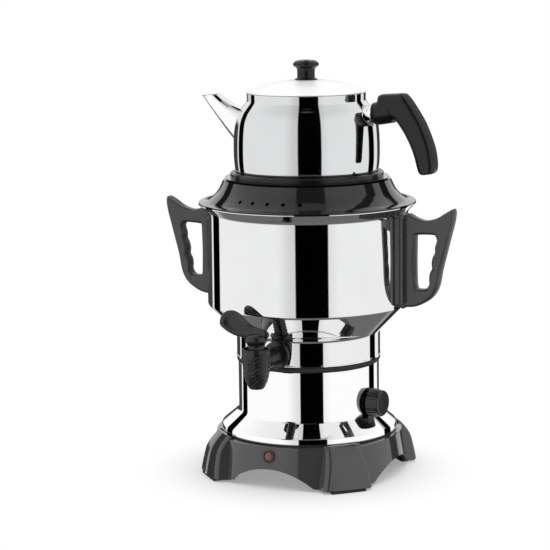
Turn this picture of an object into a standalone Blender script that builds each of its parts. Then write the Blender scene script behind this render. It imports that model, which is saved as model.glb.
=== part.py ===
"""Electric tea samovar: arched base, heater stand, steel water tank with a tap, vented hood and teapot.

The tank, stand, hood and teapot are turned about one upright axis. The front is -Y, where the tap and
the pilot lamp are, and the tank's handles stand at +X and -X. All is modelled about the Z axis and then
moved back, so that the origin is on the floor half way between the tap's front and the tank's back.
"""
import math

import bmesh
import bpy
from mathutils import Matrix, Vector

MM = 0.001

# Clearances and mesh quality
CLEAR = 0.3 * MM              # gap between two pieces that touch
OVERRUN = 3.0 * MM            # how far a cutter runs past the face it opens
WELD = 0.01 * MM              # points nearer than this are one point
BIG_STEPS = 36                # facets round the tank, stand, hood and teapot
SMALL_STEPS = 18              # facets round knobs, nuts and the tap
SCREW_STEPS = 10              # facets round screws and their holes
ARC_STEP_DEG = 30.0           # largest turn of one facet in a rounded corner
SHARP_DEG = 35.0              # edges sharper than this stay crisp

# Base with four feet
BASE_HEIGHT = 44.2 * MM
BASE_RIM_MARGIN = 4.6 * MM     # base's rim outside the sleeve's lip
BASE_WALL = 2.6 * MM
LIP_LEDGE_DEPTH = 1.0 * MM    # step in the base's top that the stand's lip sits in
DECK_OPENING_INSET = 14.0 * MM # deck's opening inside the sleeve's lip
SKIRT_FLARE = 7.2 * MM        # how much wider the skirt is at its foot than at its rim
FOOT_OUTREACH = 17.4 * MM     # how far a foot stands out past the base's rim
FOOT_TOP_WIDTH = 36.0 * MM
FOOT_BOTTOM_WIDTH = 51.0 * MM
FOOT_TOP_DROP = 0.6 * MM      # top of a foot below the base's rim
SKIRT_RAISE = 0.5 * MM        # lower edge of the skirt above the feet's undersides
FOOT_SIDE_SPLAY = 4.0 * MM    # how much a foot widens towards the skirt, on each side
ARCH_BELOW_RIM = 23.7 * MM
ARCH_WIDTH = 94.0 * MM
FOOT_COUNT = 4
SKIRT_SHARES = ((0.18, 0.16), (0.48, 0.48), (0.86, 0.84), (1.0, 1.0))
FOOT_SHARES = ((0.17, 0.06), (0.40, 0.17), (0.60, 0.28), (0.745, 0.41), (0.89, 0.67), (1.0, 0.885), (0.96, 1.0))

# Rubber pads under the feet
PAD_THICKNESS = 2.2 * MM
PAD_LENGTH = 36.0 * MM
PAD_WIDTH = 9.0 * MM
PAD_PEG_RADIUS = 2.4 * MM
PAD_PEG_HEIGHT = 5.0 * MM
PAD_EDGE = 0.7 * MM

# Plate that closes the base from below, on four screws
PLATE_INSET = 2.1 * MM        # plate's edge inside the base's rim
PLATE_THICKNESS = 1.2 * MM
PLATE_ABOVE_ARCH = 2.0 * MM
PLATE_VENT_RADIUS = 4.0 * MM
PLATE_VENT_PITCH_RADIUS = 58.0 * MM
PLATE_VENT_COUNT = 8
BOSS_RADIUS = 4.6 * MM
BOSS_INSET = 8.1 * MM         # bosses' axes inside the base's rim
SCREW_RADIUS = 1.6 * MM
SCREW_HEAD_RADIUS = 3.5 * MM
SCREW_HEAD_HEIGHT = 2.2 * MM
PLATE_SCREW_LENGTH = 11.0 * MM

# Pilot lamp in the skirt's front and cord gland in its back
LAMP_BELOW_RIM = 11.2 * MM
LAMP_BEZEL_RADIUS = 6.2 * MM
LAMP_BEZEL_DEPTH = 1.8 * MM
LAMP_LENS_RADIUS = 4.5 * MM
LAMP_LENS_DOME = 1.2 * MM
LAMP_BARREL_RADIUS = 5.2 * MM
LAMP_BARREL_LENGTH = 9.0 * MM
GLAND_BELOW_RIM = 12.2 * MM
GLAND_FLANGE_RADIUS = 8.4 * MM
GLAND_FLANGE_DEPTH = 2.4 * MM
GLAND_BARREL_RADIUS = 6.4 * MM
GLAND_BARREL_LENGTH = 9.0 * MM
GLAND_BORE_RADIUS = 4.6 * MM

# Steel stand sleeve with its flared foot
SHEET = 0.8 * MM
SLEEVE_RADIUS = 70.5 * MM
SLEEVE_HEIGHT = 68.5 * MM
SLEEVE_TURN_IN = 8.5 * MM     # width of the sleeve's turned-in top
FLARE_OUTREACH = 17.5 * MM
FLARE_START = 19.5 * MM       # height of the flare's upper end above the lip
FLARE_LIP = 5.0 * MM
FLARE_TOP_FILLET = 6.0 * MM
FLARE_LIP_FILLET = 3.0 * MM

# Ring between the stand and the tank
SEAT_RING_RADIUS = 72.1 * MM
SEAT_RING_INNER_RADIUS = 64.0 * MM
SEAT_RING_HEIGHT = 4.2 * MM
SEAT_RING_EDGE = 0.9 * MM

# Water tank
TANK_RADIUS = 100.0 * MM
TANK_WALL = 0.9 * MM
NECK_RADIUS = 71.8 * MM
NECK_HEIGHT = 25.6 * MM
CONE_HEIGHT = 28.0 * MM
WALL_HEIGHT = 92.0 * MM
RIM_OUTREACH = 7.9 * MM
RIM_HEIGHT = 8.2 * MM
TANK_FILLET = 5.0 * MM
FLOOR_FILLET = 2.4 * MM

# Heater under the tank's floor and what clamps it
HEATER_PLATE_RADIUS = 60.0 * MM
HEATER_PLATE_THICKNESS = 4.0 * MM
ELEMENT_RADIUS = 42.0 * MM
ELEMENT_TUBE_RADIUS = 3.5 * MM
ELEMENT_GAP_DEG = 26.0
ELEMENT_LEG = 26.0 * MM
CLAMP_LENGTH = 98.0 * MM
CLAMP_WIDTH = 16.0 * MM
CLAMP_THICKNESS = 1.8 * MM
CUTOUT_RADIUS = 7.5 * MM
CUTOUT_HEIGHT = 5.0 * MM
CUTOUT_OFFSET = 25.0 * MM
ROD_RADIUS = 3.0 * MM
NUT_RADIUS = 5.8 * MM
NUT_HEIGHT = 4.6 * MM
TIE_NUT_HEIGHT = 3.2 * MM
TERMINAL_LENGTH = 34.0 * MM
TERMINAL_WIDTH = 16.0 * MM
TERMINAL_HEIGHT = 13.0 * MM
TERMINAL_OFFSET = 46.0 * MM

# Thermostat and its knob, on a radial axis through the stand
THERMOSTAT_AZIMUTH_DEG = 83.0
THERMOSTAT_RISE = 31.5 * MM   # knob's axis above the sleeve's lip
KNOB_RADIUS = 14.4 * MM
KNOB_FACE_RADIUS = 12.9 * MM
KNOB_DEPTH = 12.6 * MM
KNOB_EDGE = 1.2 * MM
KNOB_STANDOFF = 2.8 * MM
KNOB_RECESS_RADIUS = 9.0 * MM
KNOB_RECESS_DEPTH = 4.0 * MM
SHAFT_RADIUS = 3.0 * MM
BUSHING_RADIUS = 4.6 * MM
BUSHING_NUT_RADIUS = 7.2 * MM
BUSHING_NUT_DEPTH = 2.4 * MM
THERMOSTAT_WIDTH = 34.0 * MM
THERMOSTAT_TALL = 26.0 * MM
THERMOSTAT_DEPTH = 18.0 * MM

# Tap: barrel with a turning plug, and the ribbed pipe that holds it on the tank
TAP_STANDOFF = 20.0 * MM      # from the tank's wall to the plug's axis
TAP_PIPE_RISE = 12.7 * MM     # pipe's axis above the tank's floor
TAP_BARREL_RADIUS = 13.5 * MM
TAP_BARREL_ABOVE = 14.9 * MM  # barrel's top above the pipe's axis
TAP_BARREL_BELOW = 23.9 * MM  # outlet below the pipe's axis
TAP_NOZZLE_RADIUS = 6.2 * MM
TAP_OUTLET_RADIUS = 4.4 * MM
TAP_BORE_RADIUS = 9.3 * MM
TAP_SEAT_BELOW = 11.8 * MM    # floor of the plug's bore below the pipe's axis
TAP_COLLAR_RADIUS = 11.7 * MM
TAP_COLLAR_DEPTH = 3.8 * MM
TAP_TAPER_SHARES = ((0.02, 0.0), (0.06, 0.30), (0.24, 0.60), (0.58, 0.84), (1.0, 1.0))
TAP_TAPER_START = 3.0 * MM    # height above the pipe's axis where the barrel starts to narrow
CHEVRON_COUNT = 5
CHEVRON_PITCH = 3.8 * MM
CHEVRON_WIDTH = 1.3 * MM
CHEVRON_DEPTH = 0.9 * MM
CHEVRON_SLOPE_DEG = 32.0
CHEVRON_TOP = 3.2 * MM        # lowest point of the first chevron above the pipe's axis
PIPE_RADIUS = 8.7 * MM
PIPE_BORE_RADIUS = 4.4 * MM
PIPE_RIB_COUNT = 8
PIPE_RIB_DEPTH = 0.8 * MM
FLANGE_RADIUS = 13.6 * MM
FLANGE_THICKNESS = 3.0 * MM
SHANK_RADIUS = 7.0 * MM
SHANK_INSIDE = 13.0 * MM      # how far the shank reaches into the tank
TAP_WASHER_RADIUS = 12.6 * MM
TAP_INNER_WASHER_RADIUS = 10.2 * MM
TAP_WASHER_THICKNESS = 2.2 * MM
TAP_NUT_RADIUS = 10.4 * MM
TAP_NUT_THICKNESS = 6.0 * MM

# Plug, its seal and the leaf-shaped key on top
PLUG_PORT_RADIUS = 3.9 * MM
PLUG_STEM_RADIUS = 8.4 * MM
PLUG_STEM_RISE = 2.0 * MM     # stem's shoulder above the barrel's top
PLUG_DRIVE_WIDTH = 9.0 * MM
PLUG_DRIVE_HEIGHT = 6.0 * MM
SEAL_GROOVE_DEPTH = 1.4 * MM
SEAL_WIDTH = 2.4 * MM
SEAL_ABOVE_PORT = 2.0 * MM
KEY_LENGTH = 55.0 * MM
KEY_HEIGHT = 26.3 * MM        # key's height along its leaning face
KEY_HEEL = 13.6 * MM          # length of the key behind the plug's axis
KEY_RISE = 9.6 * MM           # key's lowest edge above the barrel's top
KEY_LEAN_DEG = 28.0           # how far the key leans back towards the tank
KEY_THICKNESS = 6.4 * MM
KEY_ROUNDING = 1.8 * MM
KEY_DISH_DEPTH = 1.5 * MM
KEY_DISH_SPAN_SHARES = (0.46, 0.50)
KEY_DISH_PLACE_SHARES = (0.72, 0.52)
KEY_DISH_TURN_DEG = 22.0
KEY_HUB_RADIUS = 11.0 * MM
KEY_HUB_TOP_RADIUS = 6.0 * MM
KEY_HUB_HEIGHT = 11.5 * MM
KEY_HUB_SHOULDER_SHARE = 0.62
KEY_PIN_RADIUS = 1.4 * MM
KEY_OUTLINE_SHARES = ((1.0, 0.52), (0.99, 0.74), (0.91, 0.95), (0.80, 1.0), (0.70, 0.955), (0.59, 0.83),
                      (0.43, 0.58), (0.26, 0.40), (0.08, 0.34), (0.0, 0.17), (0.08, 0.0), (0.35, 0.0),
                      (0.55, 0.02), (0.68, 0.07), (0.80, 0.17), (0.91, 0.29), (0.98, 0.40))

# Side handles of the tank
HANDLE_REACH = 56.2 * MM
HANDLE_HEIGHT = 98.5 * MM
HANDLE_BELOW_RIM = 0.6 * MM   # top of the handle's horn below the tank's rim
HANDLE_THICKNESS = 13.0 * MM
HANDLE_ROUNDING = 3.2 * MM
HANDLE_PLATE_WIDTH = 30.0 * MM
HANDLE_PLATE_DEPTH = 8.0 * MM
HANDLE_PLATE_EDGE = 2.0 * MM
HANDLE_PLATE_SHARES = (0.02, 0.925)
HANDLE_SCREW_SHARES = (0.135, 0.83)
HANDLE_SCREW_DEPTH = 11.0 * MM
HANDLE_OUTLINE_SHARES = ((-0.012, 0.002), (0.266, 0.019), (0.418, 0.050), (0.593, 0.121), (0.702, 0.227),
                         (0.768, 0.405), (0.850, 0.584), (0.923, 0.745), (0.982, 0.868), (1.0, 0.964),
                         (0.968, 1.0), (0.848, 0.962), (0.679, 0.902), (0.484, 0.876), (0.286, 0.900),
                         (0.150, 0.935), (-0.012, 0.935))
HANDLE_HOLE_SHARES = ((0.285, 0.715), (0.290, 0.225), (0.320, 0.193), (0.484, 0.198), (0.530, 0.228),
                      (0.560, 0.262), (0.548, 0.310), (0.560, 0.360), (0.600, 0.405), (0.592, 0.460),
                      (0.612, 0.518), (0.652, 0.560), (0.655, 0.620), (0.690, 0.675), (0.665, 0.722),
                      (0.618, 0.738), (0.340, 0.742))

# Hood over the tank, and the ring that the teapot stands in
HOOD_FLANGE_THICKNESS = 1.5 * MM
HOOD_BELL_FOOT_INSET = 1.8 * MM   # bell's foot inside the tank's wall
HOOD_BELL_FOOT_RISE = 3.2 * MM
HOOD_TOP_INSET = 17.4 * MM    # hood's top inside the tank's wall
HOOD_HEIGHT = 25.4 * MM
HOOD_WALL = 2.2 * MM
HOOD_LIP = 0.8 * MM
HOOD_LIP_WIDTH = 1.4 * MM
HOOD_OPENING_RADIUS = 60.0 * MM
HOOD_SKIRT_DEPTH = 9.0 * MM
HOOD_SKIRT_WALL = 1.8 * MM
HOOD_SKIRT_PLAY = 0.5 * MM
HOOD_BELL_SHARES = ((0.0, 0.0), (0.01, 0.09), (0.23, 0.40), (0.36, 0.58), (0.62, 0.76), (0.87, 0.94), (1.0, 1.0))
VENT_COUNT = 5
VENT_RADIUS = 2.1 * MM
VENT_STEP_DEG = 10.0
VENT_SHARE = 0.68             # how far down the bell the vents are
VENT_TILT_DEG = 38.0
POT_RING_RADIUS = 76.0 * MM
POT_RING_HEIGHT = 6.0 * MM
POT_RING_LEDGE_HEIGHT = 2.2 * MM
POT_RING_BORE_RADIUS = 70.8 * MM
POT_RING_INNER_RADIUS = 64.0 * MM
POT_RING_EDGE = 1.2 * MM

# Teapot
POT_WALL = 0.8 * MM
POT_BELLY_RADIUS = 72.2 * MM
POT_RIM_RADIUS = 58.6 * MM
POT_BASE_RADIUS = 65.5 * MM
POT_HEIGHT = 80.7 * MM
POT_BELLY_HEIGHT = 26.7 * MM
POT_COLLAR = 5.2 * MM
POT_SHOULDER_SHARES = ((1.0, 1.0), (0.95, 0.93), (0.684, 0.822), (0.257, 0.635), (0.066, 0.381), (0.0, 0.0))
POT_FOOT_SHARES = ((0.075, 0.58), (0.24, 0.805), (0.40, 0.92), (0.63, 0.98), (1.0, 1.0))
STRAINER_HOLE_RADIUS = 2.1 * MM
STRAINER_PITCH = 6.4 * MM
STRAINER_COUNT = 6
STRAINER_SHARE = 0.60         # height of the strainer on the teapot

# Spout, as a tapering tube that follows a bent line in the plane y = 0
SPOUT_ROOT_RADIUS = 18.0 * MM
SPOUT_WALL = 1.0 * MM
SPOUT_REACH = 50.0 * MM       # from the line's start to its end, along -X
SPOUT_RISE = 45.0 * MM
SPOUT_START_RADIUS = 62.0 * MM
SPOUT_START_SHARE = 0.53      # height of the line's start on the teapot
SPOUT_MOUTH_SHARE = 0.94      # height of the mouth on the teapot
SPOUT_MOUTH_TILT_DEG = 5.5
SPOUT_LINE_SHARES = ((0.0, 0.0), (0.24, 0.13), (0.44, 0.30), (0.64, 0.49), (0.83, 0.725), (1.0, 0.96))
SPOUT_RADIUS_SHARES = (1.0, 0.89, 0.67, 0.515, 0.433, 0.41)

# Teapot handle in the plane y = 0, with the steel ferrule that carries it
GRIP_START_RADIUS = 72.6 * MM
GRIP_REACH = 64.0 * MM
GRIP_HEIGHT = 78.8 * MM
GRIP_ABOVE_RIM = 1.0 * MM
GRIP_THICKNESS = 21.0 * MM
GRIP_ROUNDING = 5.0 * MM
FERRULE_RADIUS = 10.0 * MM
FERRULE_INNER_RADIUS = 55.0 * MM
FERRULE_SHARE = 0.74          # height of the ferrule on the teapot
GRIP_STUD_RADIUS = 2.2 * MM
GRIP_STUD_DEPTH = 20.0 * MM   # how far the stud reaches into the handle
GRIP_OUTLINE_SHARES = ((0.0, 0.590), (0.0, 0.900), (0.055, 0.972), (0.24, 0.995), (0.47, 1.0), (0.638, 0.878),
                       (0.785, 0.693), (0.908, 0.475), (0.970, 0.321), (1.0, 0.168), (0.993, 0.080),
                       (0.935, 0.020), (0.830, 0.0), (0.740, 0.037), (0.707, 0.142), (0.638, 0.312),
                       (0.536, 0.481), (0.433, 0.608), (0.353, 0.680), (0.220, 0.655), (0.065, 0.600))
FLUTE_COUNT = 3
FLUTE_RADIUS = 1.1 * MM
FLUTE_PITCH = 4.2 * MM
FLUTE_LINE_SHARES = ((0.60, 0.905), (0.70, 0.800), (0.80, 0.665), (0.873, 0.545), (0.925, 0.430), (0.966, 0.325))

# Teapot lid and its knob
LID_RADIUS = 59.4 * MM
LID_RISE = 12.0 * MM
LID_EDGE = 1.2 * MM
LID_FLAT_RADIUS = 13.0 * MM
LID_WALL = 0.8 * MM
LID_SKIRT_DEPTH = 6.0 * MM
LID_SKIRT_PLAY = 0.6 * MM
LID_DOME_SHARES = ((0.34, 0.14), (0.62, 0.37), (0.86, 0.70), (0.975, 0.93))
LID_HOLE_RADIUS = 1.9 * MM
LID_KNOB_RADIUS = 12.8 * MM
LID_KNOB_HEIGHT = 19.6 * MM
LID_KNOB_NECK_RADIUS = 8.4 * MM
LID_KNOB_FOOT_RADIUS = 11.4 * MM
LID_KNOB_BORE_DEPTH = 9.0 * MM
LID_WASHER_RADIUS = 6.0 * MM
LID_WASHER_THICKNESS = 0.8 * MM
KNOB_PROFILE_SHARES = ((0.62, 1.0, 1.0), (0.93, 0.93, 1.0), (1.0, 0.80, 1.0), (0.93, 0.66, 1.0),
                       (0.70, 0.57, 1.0))

# Sizes that follow from the ones above, from the floor up
SLEEVE_TOP_OPENING_RADIUS = SLEEVE_RADIUS - SLEEVE_TURN_IN
FLARE_RADIUS = SLEEVE_RADIUS + FLARE_OUTREACH
BASE_RIM_RADIUS = FLARE_RADIUS + BASE_RIM_MARGIN
DECK_OPENING_RADIUS = FLARE_RADIUS - DECK_OPENING_INSET
PLATE_RADIUS = BASE_RIM_RADIUS - PLATE_INSET
BOSS_PITCH_RADIUS = BASE_RIM_RADIUS - BOSS_INSET
ARCH_HEIGHT = BASE_HEIGHT - ARCH_BELOW_RIM
PLATE_HEIGHT = ARCH_HEIGHT + PLATE_ABOVE_ARCH
LEDGE_Z = BASE_HEIGHT - LIP_LEDGE_DEPTH
LIP_Z = LEDGE_Z + CLEAR
LAMP_HEIGHT = BASE_HEIGHT - LAMP_BELOW_RIM
GLAND_HEIGHT = BASE_HEIGHT - GLAND_BELOW_RIM
THERMOSTAT_HEIGHT = LIP_Z + THERMOSTAT_RISE
SLEEVE_TOP_Z = LIP_Z + SLEEVE_HEIGHT
SEAT_RING_Z = SLEEVE_TOP_Z + CLEAR
TANK_Z = SEAT_RING_Z + SEAT_RING_HEIGHT + CLEAR
CONE_Z = TANK_Z + NECK_HEIGHT
WALL_Z = CONE_Z + CONE_HEIGHT
RIM_Z = WALL_Z + WALL_HEIGHT
TANK_TOP_Z = RIM_Z + RIM_HEIGHT
HOOD_Z = TANK_TOP_Z + CLEAR
HOOD_BELL_FOOT_RADIUS = TANK_RADIUS - HOOD_BELL_FOOT_INSET
HOOD_TOP_RADIUS = TANK_RADIUS - HOOD_TOP_INSET
HOOD_TOP_Z = HOOD_Z + HOOD_HEIGHT
HOOD_DECK_Z = HOOD_TOP_Z - HOOD_LIP
POT_RING_Z = HOOD_DECK_Z + CLEAR
POT_Z = POT_RING_Z + POT_RING_LEDGE_HEIGHT + CLEAR
POT_TOP_Z = POT_Z + POT_HEIGHT
LID_Z = POT_TOP_Z + CLEAR
LID_TOP_Z = LID_Z + LID_RISE
FOOT_Z = PAD_THICKNESS + CLEAR
HEATER_Z = TANK_Z - CLEAR - HEATER_PLATE_THICKNESS
ELEMENT_Z = HEATER_Z - CLEAR - ELEMENT_TUBE_RADIUS
CLAMP_Z = ELEMENT_Z - ELEMENT_TUBE_RADIUS - CLEAR - CLAMP_THICKNESS
HANDLE_Z = TANK_TOP_Z - HANDLE_BELOW_RIM - HANDLE_HEIGHT
TAP_REACH = TANK_RADIUS + TAP_STANDOFF
TAP_PIPE_HEIGHT = TANK_Z + TAP_PIPE_RISE
TAP_TOP_Z = TAP_PIPE_HEIGHT + TAP_BARREL_ABOVE
TAP_BOTTOM_Z = TAP_PIPE_HEIGHT - TAP_BARREL_BELOW
KEY_Z = TAP_TOP_Z + KEY_RISE
AXIS_SETBACK = (TAP_REACH + TAP_BARREL_RADIUS - TANK_RADIUS - RIM_OUTREACH) / 2
GRIP_Z = POT_TOP_Z + GRIP_ABOVE_RIM - GRIP_HEIGHT
FERRULE_Z = POT_Z + POT_HEIGHT * FERRULE_SHARE

# Colours, roughness and metallic value of each finish
FINISHES = {
    "polished_steel": ((0.78, 0.78, 0.79), 0.08, 1.0),
    "plain_steel": ((0.60, 0.60, 0.61), 0.35, 1.0),
    "aluminium": ((0.72, 0.73, 0.75), 0.40, 1.0),
    "brass": ((0.72, 0.55, 0.28), 0.30, 1.0),
    "gloss_black": ((0.020, 0.020, 0.022), 0.15, 0.0),
    "satin_black": ((0.018, 0.018, 0.019), 0.38, 0.0),
    "rubber": ((0.025, 0.025, 0.026), 0.75, 0.0),
    "white_plastic": ((0.80, 0.79, 0.76), 0.45, 0.0),
    "red_lens": ((0.55, 0.04, 0.03), 0.12, 0.0),
}


def clear_scene():
    """Remove every object that the open file holds."""
    for item in list(bpy.data.objects):
        bpy.data.objects.remove(item, do_unlink=True)


def new_collection(name):
    """Add an empty collection to the scene."""
    collection = bpy.data.collections.new(name)
    bpy.context.scene.collection.children.link(collection)
    return collection


clear_scene()
PARTS = new_collection("samovar")
CUTTERS = new_collection("samovar_cutters")


def paint(item, finish):
    """Give an object a material of its own with the named finish."""
    colour, roughness, metallic = FINISHES[finish]
    material = bpy.data.materials.new(item.name + "_" + finish)
    material.use_nodes = True
    shader = material.node_tree.nodes["Principled BSDF"]
    shader.inputs["Base Color"].default_value = (*colour, 1.0)
    shader.inputs["Roughness"].default_value = roughness
    shader.inputs["Metallic"].default_value = metallic
    item.data.materials.append(material)


def add_object(name, data, finish=None):
    """Place new data as a part if it has a finish, and else as a guide."""
    item = bpy.data.objects.new(name, data)
    if finish:
        PARTS.objects.link(item)
        paint(item, finish)
    else:
        CUTTERS.objects.link(item)
        item.hide_render = True
        item.display_type = "WIRE"
    return item


def add_axis(name, location, rotation=(0.0, 0.0, 0.0)):
    """Add an empty that marks the axis a moving piece turns on."""
    empty = bpy.data.objects.new(name, None)
    empty.location = location
    empty.rotation_euler = rotation
    PARTS.objects.link(empty)
    return empty


def shade(mesh):
    """Shade a mesh smooth, with its sharp edges left crisp."""
    mesh.shade_smooth()
    mesh.set_sharp_from_angle(angle=math.radians(SHARP_DEG))


def bake(item):
    """Replace an object's mesh by its modifiers' result, welded and shaded."""
    bpy.context.view_layer.update()
    evaluated = item.evaluated_get(bpy.context.evaluated_depsgraph_get())
    mesh = bpy.data.meshes.new_from_object(evaluated)
    welded = bmesh.new()
    welded.from_mesh(mesh)
    bmesh.ops.remove_doubles(welded, verts=welded.verts, dist=WELD)
    welded.to_mesh(mesh)
    welded.free()
    item.modifiers.clear()
    item.data = mesh
    shade(mesh)
    return item


def mesh_from_curve(curve_item, name, finish=None):
    """Make a mesh object of a curve, with its caps welded, and remove the curve."""
    bpy.context.view_layer.update()
    evaluated = curve_item.evaluated_get(bpy.context.evaluated_depsgraph_get())
    mesh = bpy.data.meshes.new_from_object(evaluated)
    welded = bmesh.new()
    welded.from_mesh(mesh)
    bmesh.ops.remove_doubles(welded, verts=welded.verts, dist=WELD)
    bmesh.ops.recalc_face_normals(welded, faces=welded.faces)
    welded.to_mesh(mesh)
    welded.free()
    mesh.materials.clear()
    mesh.transform(curve_item.matrix_world)
    bpy.data.objects.remove(curve_item, do_unlink=True)
    shade(mesh)
    return add_object(name, mesh, finish)


def combine(item, other, operation):
    """Add a Boolean modifier that joins, cuts or keeps the overlap with another object."""
    modifier = item.modifiers.new(operation.lower(), "BOOLEAN")
    modifier.operation = operation
    modifier.solver = "EXACT"
    modifier.object = other
    return item


def cut(item, *cutters):
    """Cut guides out of an object."""
    for cutter in cutters:
        combine(item, cutter, "DIFFERENCE")
    return item


def join(item, *others):
    """Join guides to an object."""
    for other in others:
        combine(item, other, "UNION")
    return item


def bevel(item, width, segments=1):
    """Round an object's edges that are sharper than the crisp angle."""
    modifier = item.modifiers.new("bevel", "BEVEL")
    modifier.width = width
    modifier.segments = segments
    modifier.limit_method = "ANGLE"
    modifier.angle_limit = math.radians(SHARP_DEG)
    return bake(item)


def turned(name, profile, finish=None, steps=BIG_STEPS, ring=False, wall=0.0):
    """Turn (radius, height) points round Z: a ring section, a shell with a wall, or a solid."""
    points = [(radius, 0.0, height) for radius, height in profile]
    edges = [(index, index + 1) for index in range(len(points) - 1)]
    if ring:
        edges.append((len(points) - 1, 0))
    mesh = bpy.data.meshes.new(name)
    mesh.from_pydata(points, edges, [])
    item = add_object(name, mesh, finish)
    screw = item.modifiers.new("turn", "SCREW")
    screw.steps = steps
    screw.render_steps = steps
    screw.use_merge_vertices = True
    screw.merge_threshold = WELD
    if wall:
        solidify = item.modifiers.new("wall", "SOLIDIFY")
        solidify.thickness = wall
        solidify.offset = -1.0
        solidify.use_even_offset = True
    return bake(item)


def rounded(corners):
    """Round a profile's corners, given as (radius, height, fillet), into short arcs."""
    points = []
    for index, (radius, height, fillet) in enumerate(corners):
        here = Vector((radius, height))
        if not fillet:
            points.append(tuple(here))
            continue
        back = (Vector(corners[index - 1][:2]) - here).normalized()
        ahead = (Vector(corners[index + 1][:2]) - here).normalized()
        opening = back.angle(ahead)
        turn = math.pi - opening
        centre = here + (back + ahead).normalized() * (fillet / math.sin(opening / 2))
        first = here + back * (fillet / math.tan(opening / 2)) - centre
        last = here + ahead * (fillet / math.tan(opening / 2)) - centre
        count = max(1, math.ceil(math.degrees(turn) / ARC_STEP_DEG))
        for step in range(count + 1):
            share = step / count
            spoke = (first * math.sin((1 - share) * turn) + last * math.sin(share * turn)) / math.sin(turn)
            points.append(tuple(centre + spoke))
    return points


def stretch(start, end, shares):
    """Place points between two ends, each by its shares of the way across and up."""
    return [(start[0] + (end[0] - start[0]) * across, start[1] + (end[1] - start[1]) * up)
            for across, up in shares]


def box(name, size, centre, finish=None):
    """Make a box from a unit cube."""
    shape = bmesh.new()
    bmesh.ops.create_cube(shape, size=1.0, matrix=Matrix.Translation(centre) @ Matrix.Diagonal((*size, 1.0)))
    mesh = bpy.data.meshes.new(name)
    shape.to_mesh(mesh)
    shape.free()
    return add_object(name, mesh, finish)


def rod(name, start, end, radius, finish=None, steps=SMALL_STEPS, end_radius=None):
    """Make a cylinder or cone between two points."""
    start, end = Vector(start), Vector(end)
    along = end - start
    turn = along.to_track_quat("Z", "Y").to_matrix().to_4x4()
    shape = bmesh.new()
    bmesh.ops.create_cone(shape, cap_ends=True, segments=steps, radius1=radius,
                          radius2=radius if end_radius is None else end_radius, depth=along.length,
                          matrix=Matrix.Translation((start + end) / 2) @ turn)
    mesh = bpy.data.meshes.new(name)
    shape.to_mesh(mesh)
    shape.free()
    shade(mesh)
    return add_object(name, mesh, finish)


def tube(name, points, radius, finish=None, resolution=2, shares=None):
    """Make a round tube along points, with a share of its radius at each point."""
    curve = bpy.data.curves.new(name, "CURVE")
    curve.dimensions = "3D"
    curve.bevel_depth = radius
    curve.bevel_resolution = resolution
    curve.use_fill_caps = True
    spline = curve.splines.new("POLY")
    spline.points.add(len(points) - 1)
    for index, place in enumerate(points):
        spline.points[index].co = (*place, 1.0)
        spline.points[index].radius = shares[index] if shares else 1.0
    item = bpy.data.objects.new(name + "_line", curve)
    CUTTERS.objects.link(item)
    return mesh_from_curve(item, name, finish)


def flat_piece(name, loops, thickness, rounding, finish=None, resolution=1):
    """Make a plate with rounded edges from closed (x, z) loops, standing in the plane y = 0."""
    curve = bpy.data.curves.new(name, "CURVE")
    curve.dimensions = "2D"
    curve.fill_mode = "BOTH"
    curve.extrude = thickness / 2 - rounding
    curve.bevel_depth = rounding
    curve.bevel_resolution = resolution
    curve.offset = -rounding
    for loop in loops:
        spline = curve.splines.new("POLY")
        spline.points.add(len(loop) - 1)
        spline.use_cyclic_u = True
        for index, (across, up) in enumerate(loop):
            spline.points[index].co = (across, up, 0.0, 1.0)
    item = bpy.data.objects.new(name + "_outline", curve)
    item.rotation_euler = (math.radians(90.0), 0.0, 0.0)
    CUTTERS.objects.link(item)
    return mesh_from_curve(item, name, finish)


def around(radius, azimuth_deg, height):
    """Place a point at an azimuth measured from the front towards +X."""
    azimuth = math.radians(azimuth_deg)
    return (radius * math.sin(azimuth), -radius * math.cos(azimuth), height)


def foot_azimuths():
    """Azimuths of the feet, half way between the front, sides and back."""
    return [360.0 * (index + 0.5) / FOOT_COUNT for index in range(FOOT_COUNT)]


def skirt_radius(height):
    """Outer radius of the base's skirt at a height, along its straight chord."""
    return BASE_RIM_RADIUS + SKIRT_FLARE * (BASE_HEIGHT - height) / (BASE_HEIGHT - FOOT_Z)


def on_skirt(item, azimuth_deg, height):
    """Set an object on the skirt's outside, with its +Z square to the sloping wall."""
    slope = math.atan2(SKIRT_FLARE, BASE_HEIGHT - FOOT_Z)
    item.location = around(skirt_radius(height) + 2 * CLEAR, azimuth_deg, height)
    item.rotation_euler = (math.radians(90.0) - slope, 0.0, math.radians(azimuth_deg))
    return item


def skirt_ring():
    """Skirt, deck and the ledge for the stand's lip, as one turned ring section."""
    top = (BASE_RIM_RADIUS, BASE_HEIGHT)
    foot = (BASE_RIM_RADIUS + SKIRT_FLARE, FOOT_Z + SKIRT_RAISE)
    outer = [top] + stretch(top, foot, SKIRT_SHARES)
    under = BASE_HEIGHT - LIP_LEDGE_DEPTH - BASE_WALL
    inner_foot = (foot[0] - BASE_WALL, foot[1])
    inner_top = (top[0] - BASE_WALL, under)
    lip_radius = FLARE_RADIUS + CLEAR
    inner = [inner_foot, inner_top, (DECK_OPENING_RADIUS, under), (DECK_OPENING_RADIUS, LEDGE_Z),
             (lip_radius, LEDGE_Z), (lip_radius, BASE_HEIGHT)]
    return turned("base_housing", outer + inner, "gloss_black", ring=True)


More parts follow.
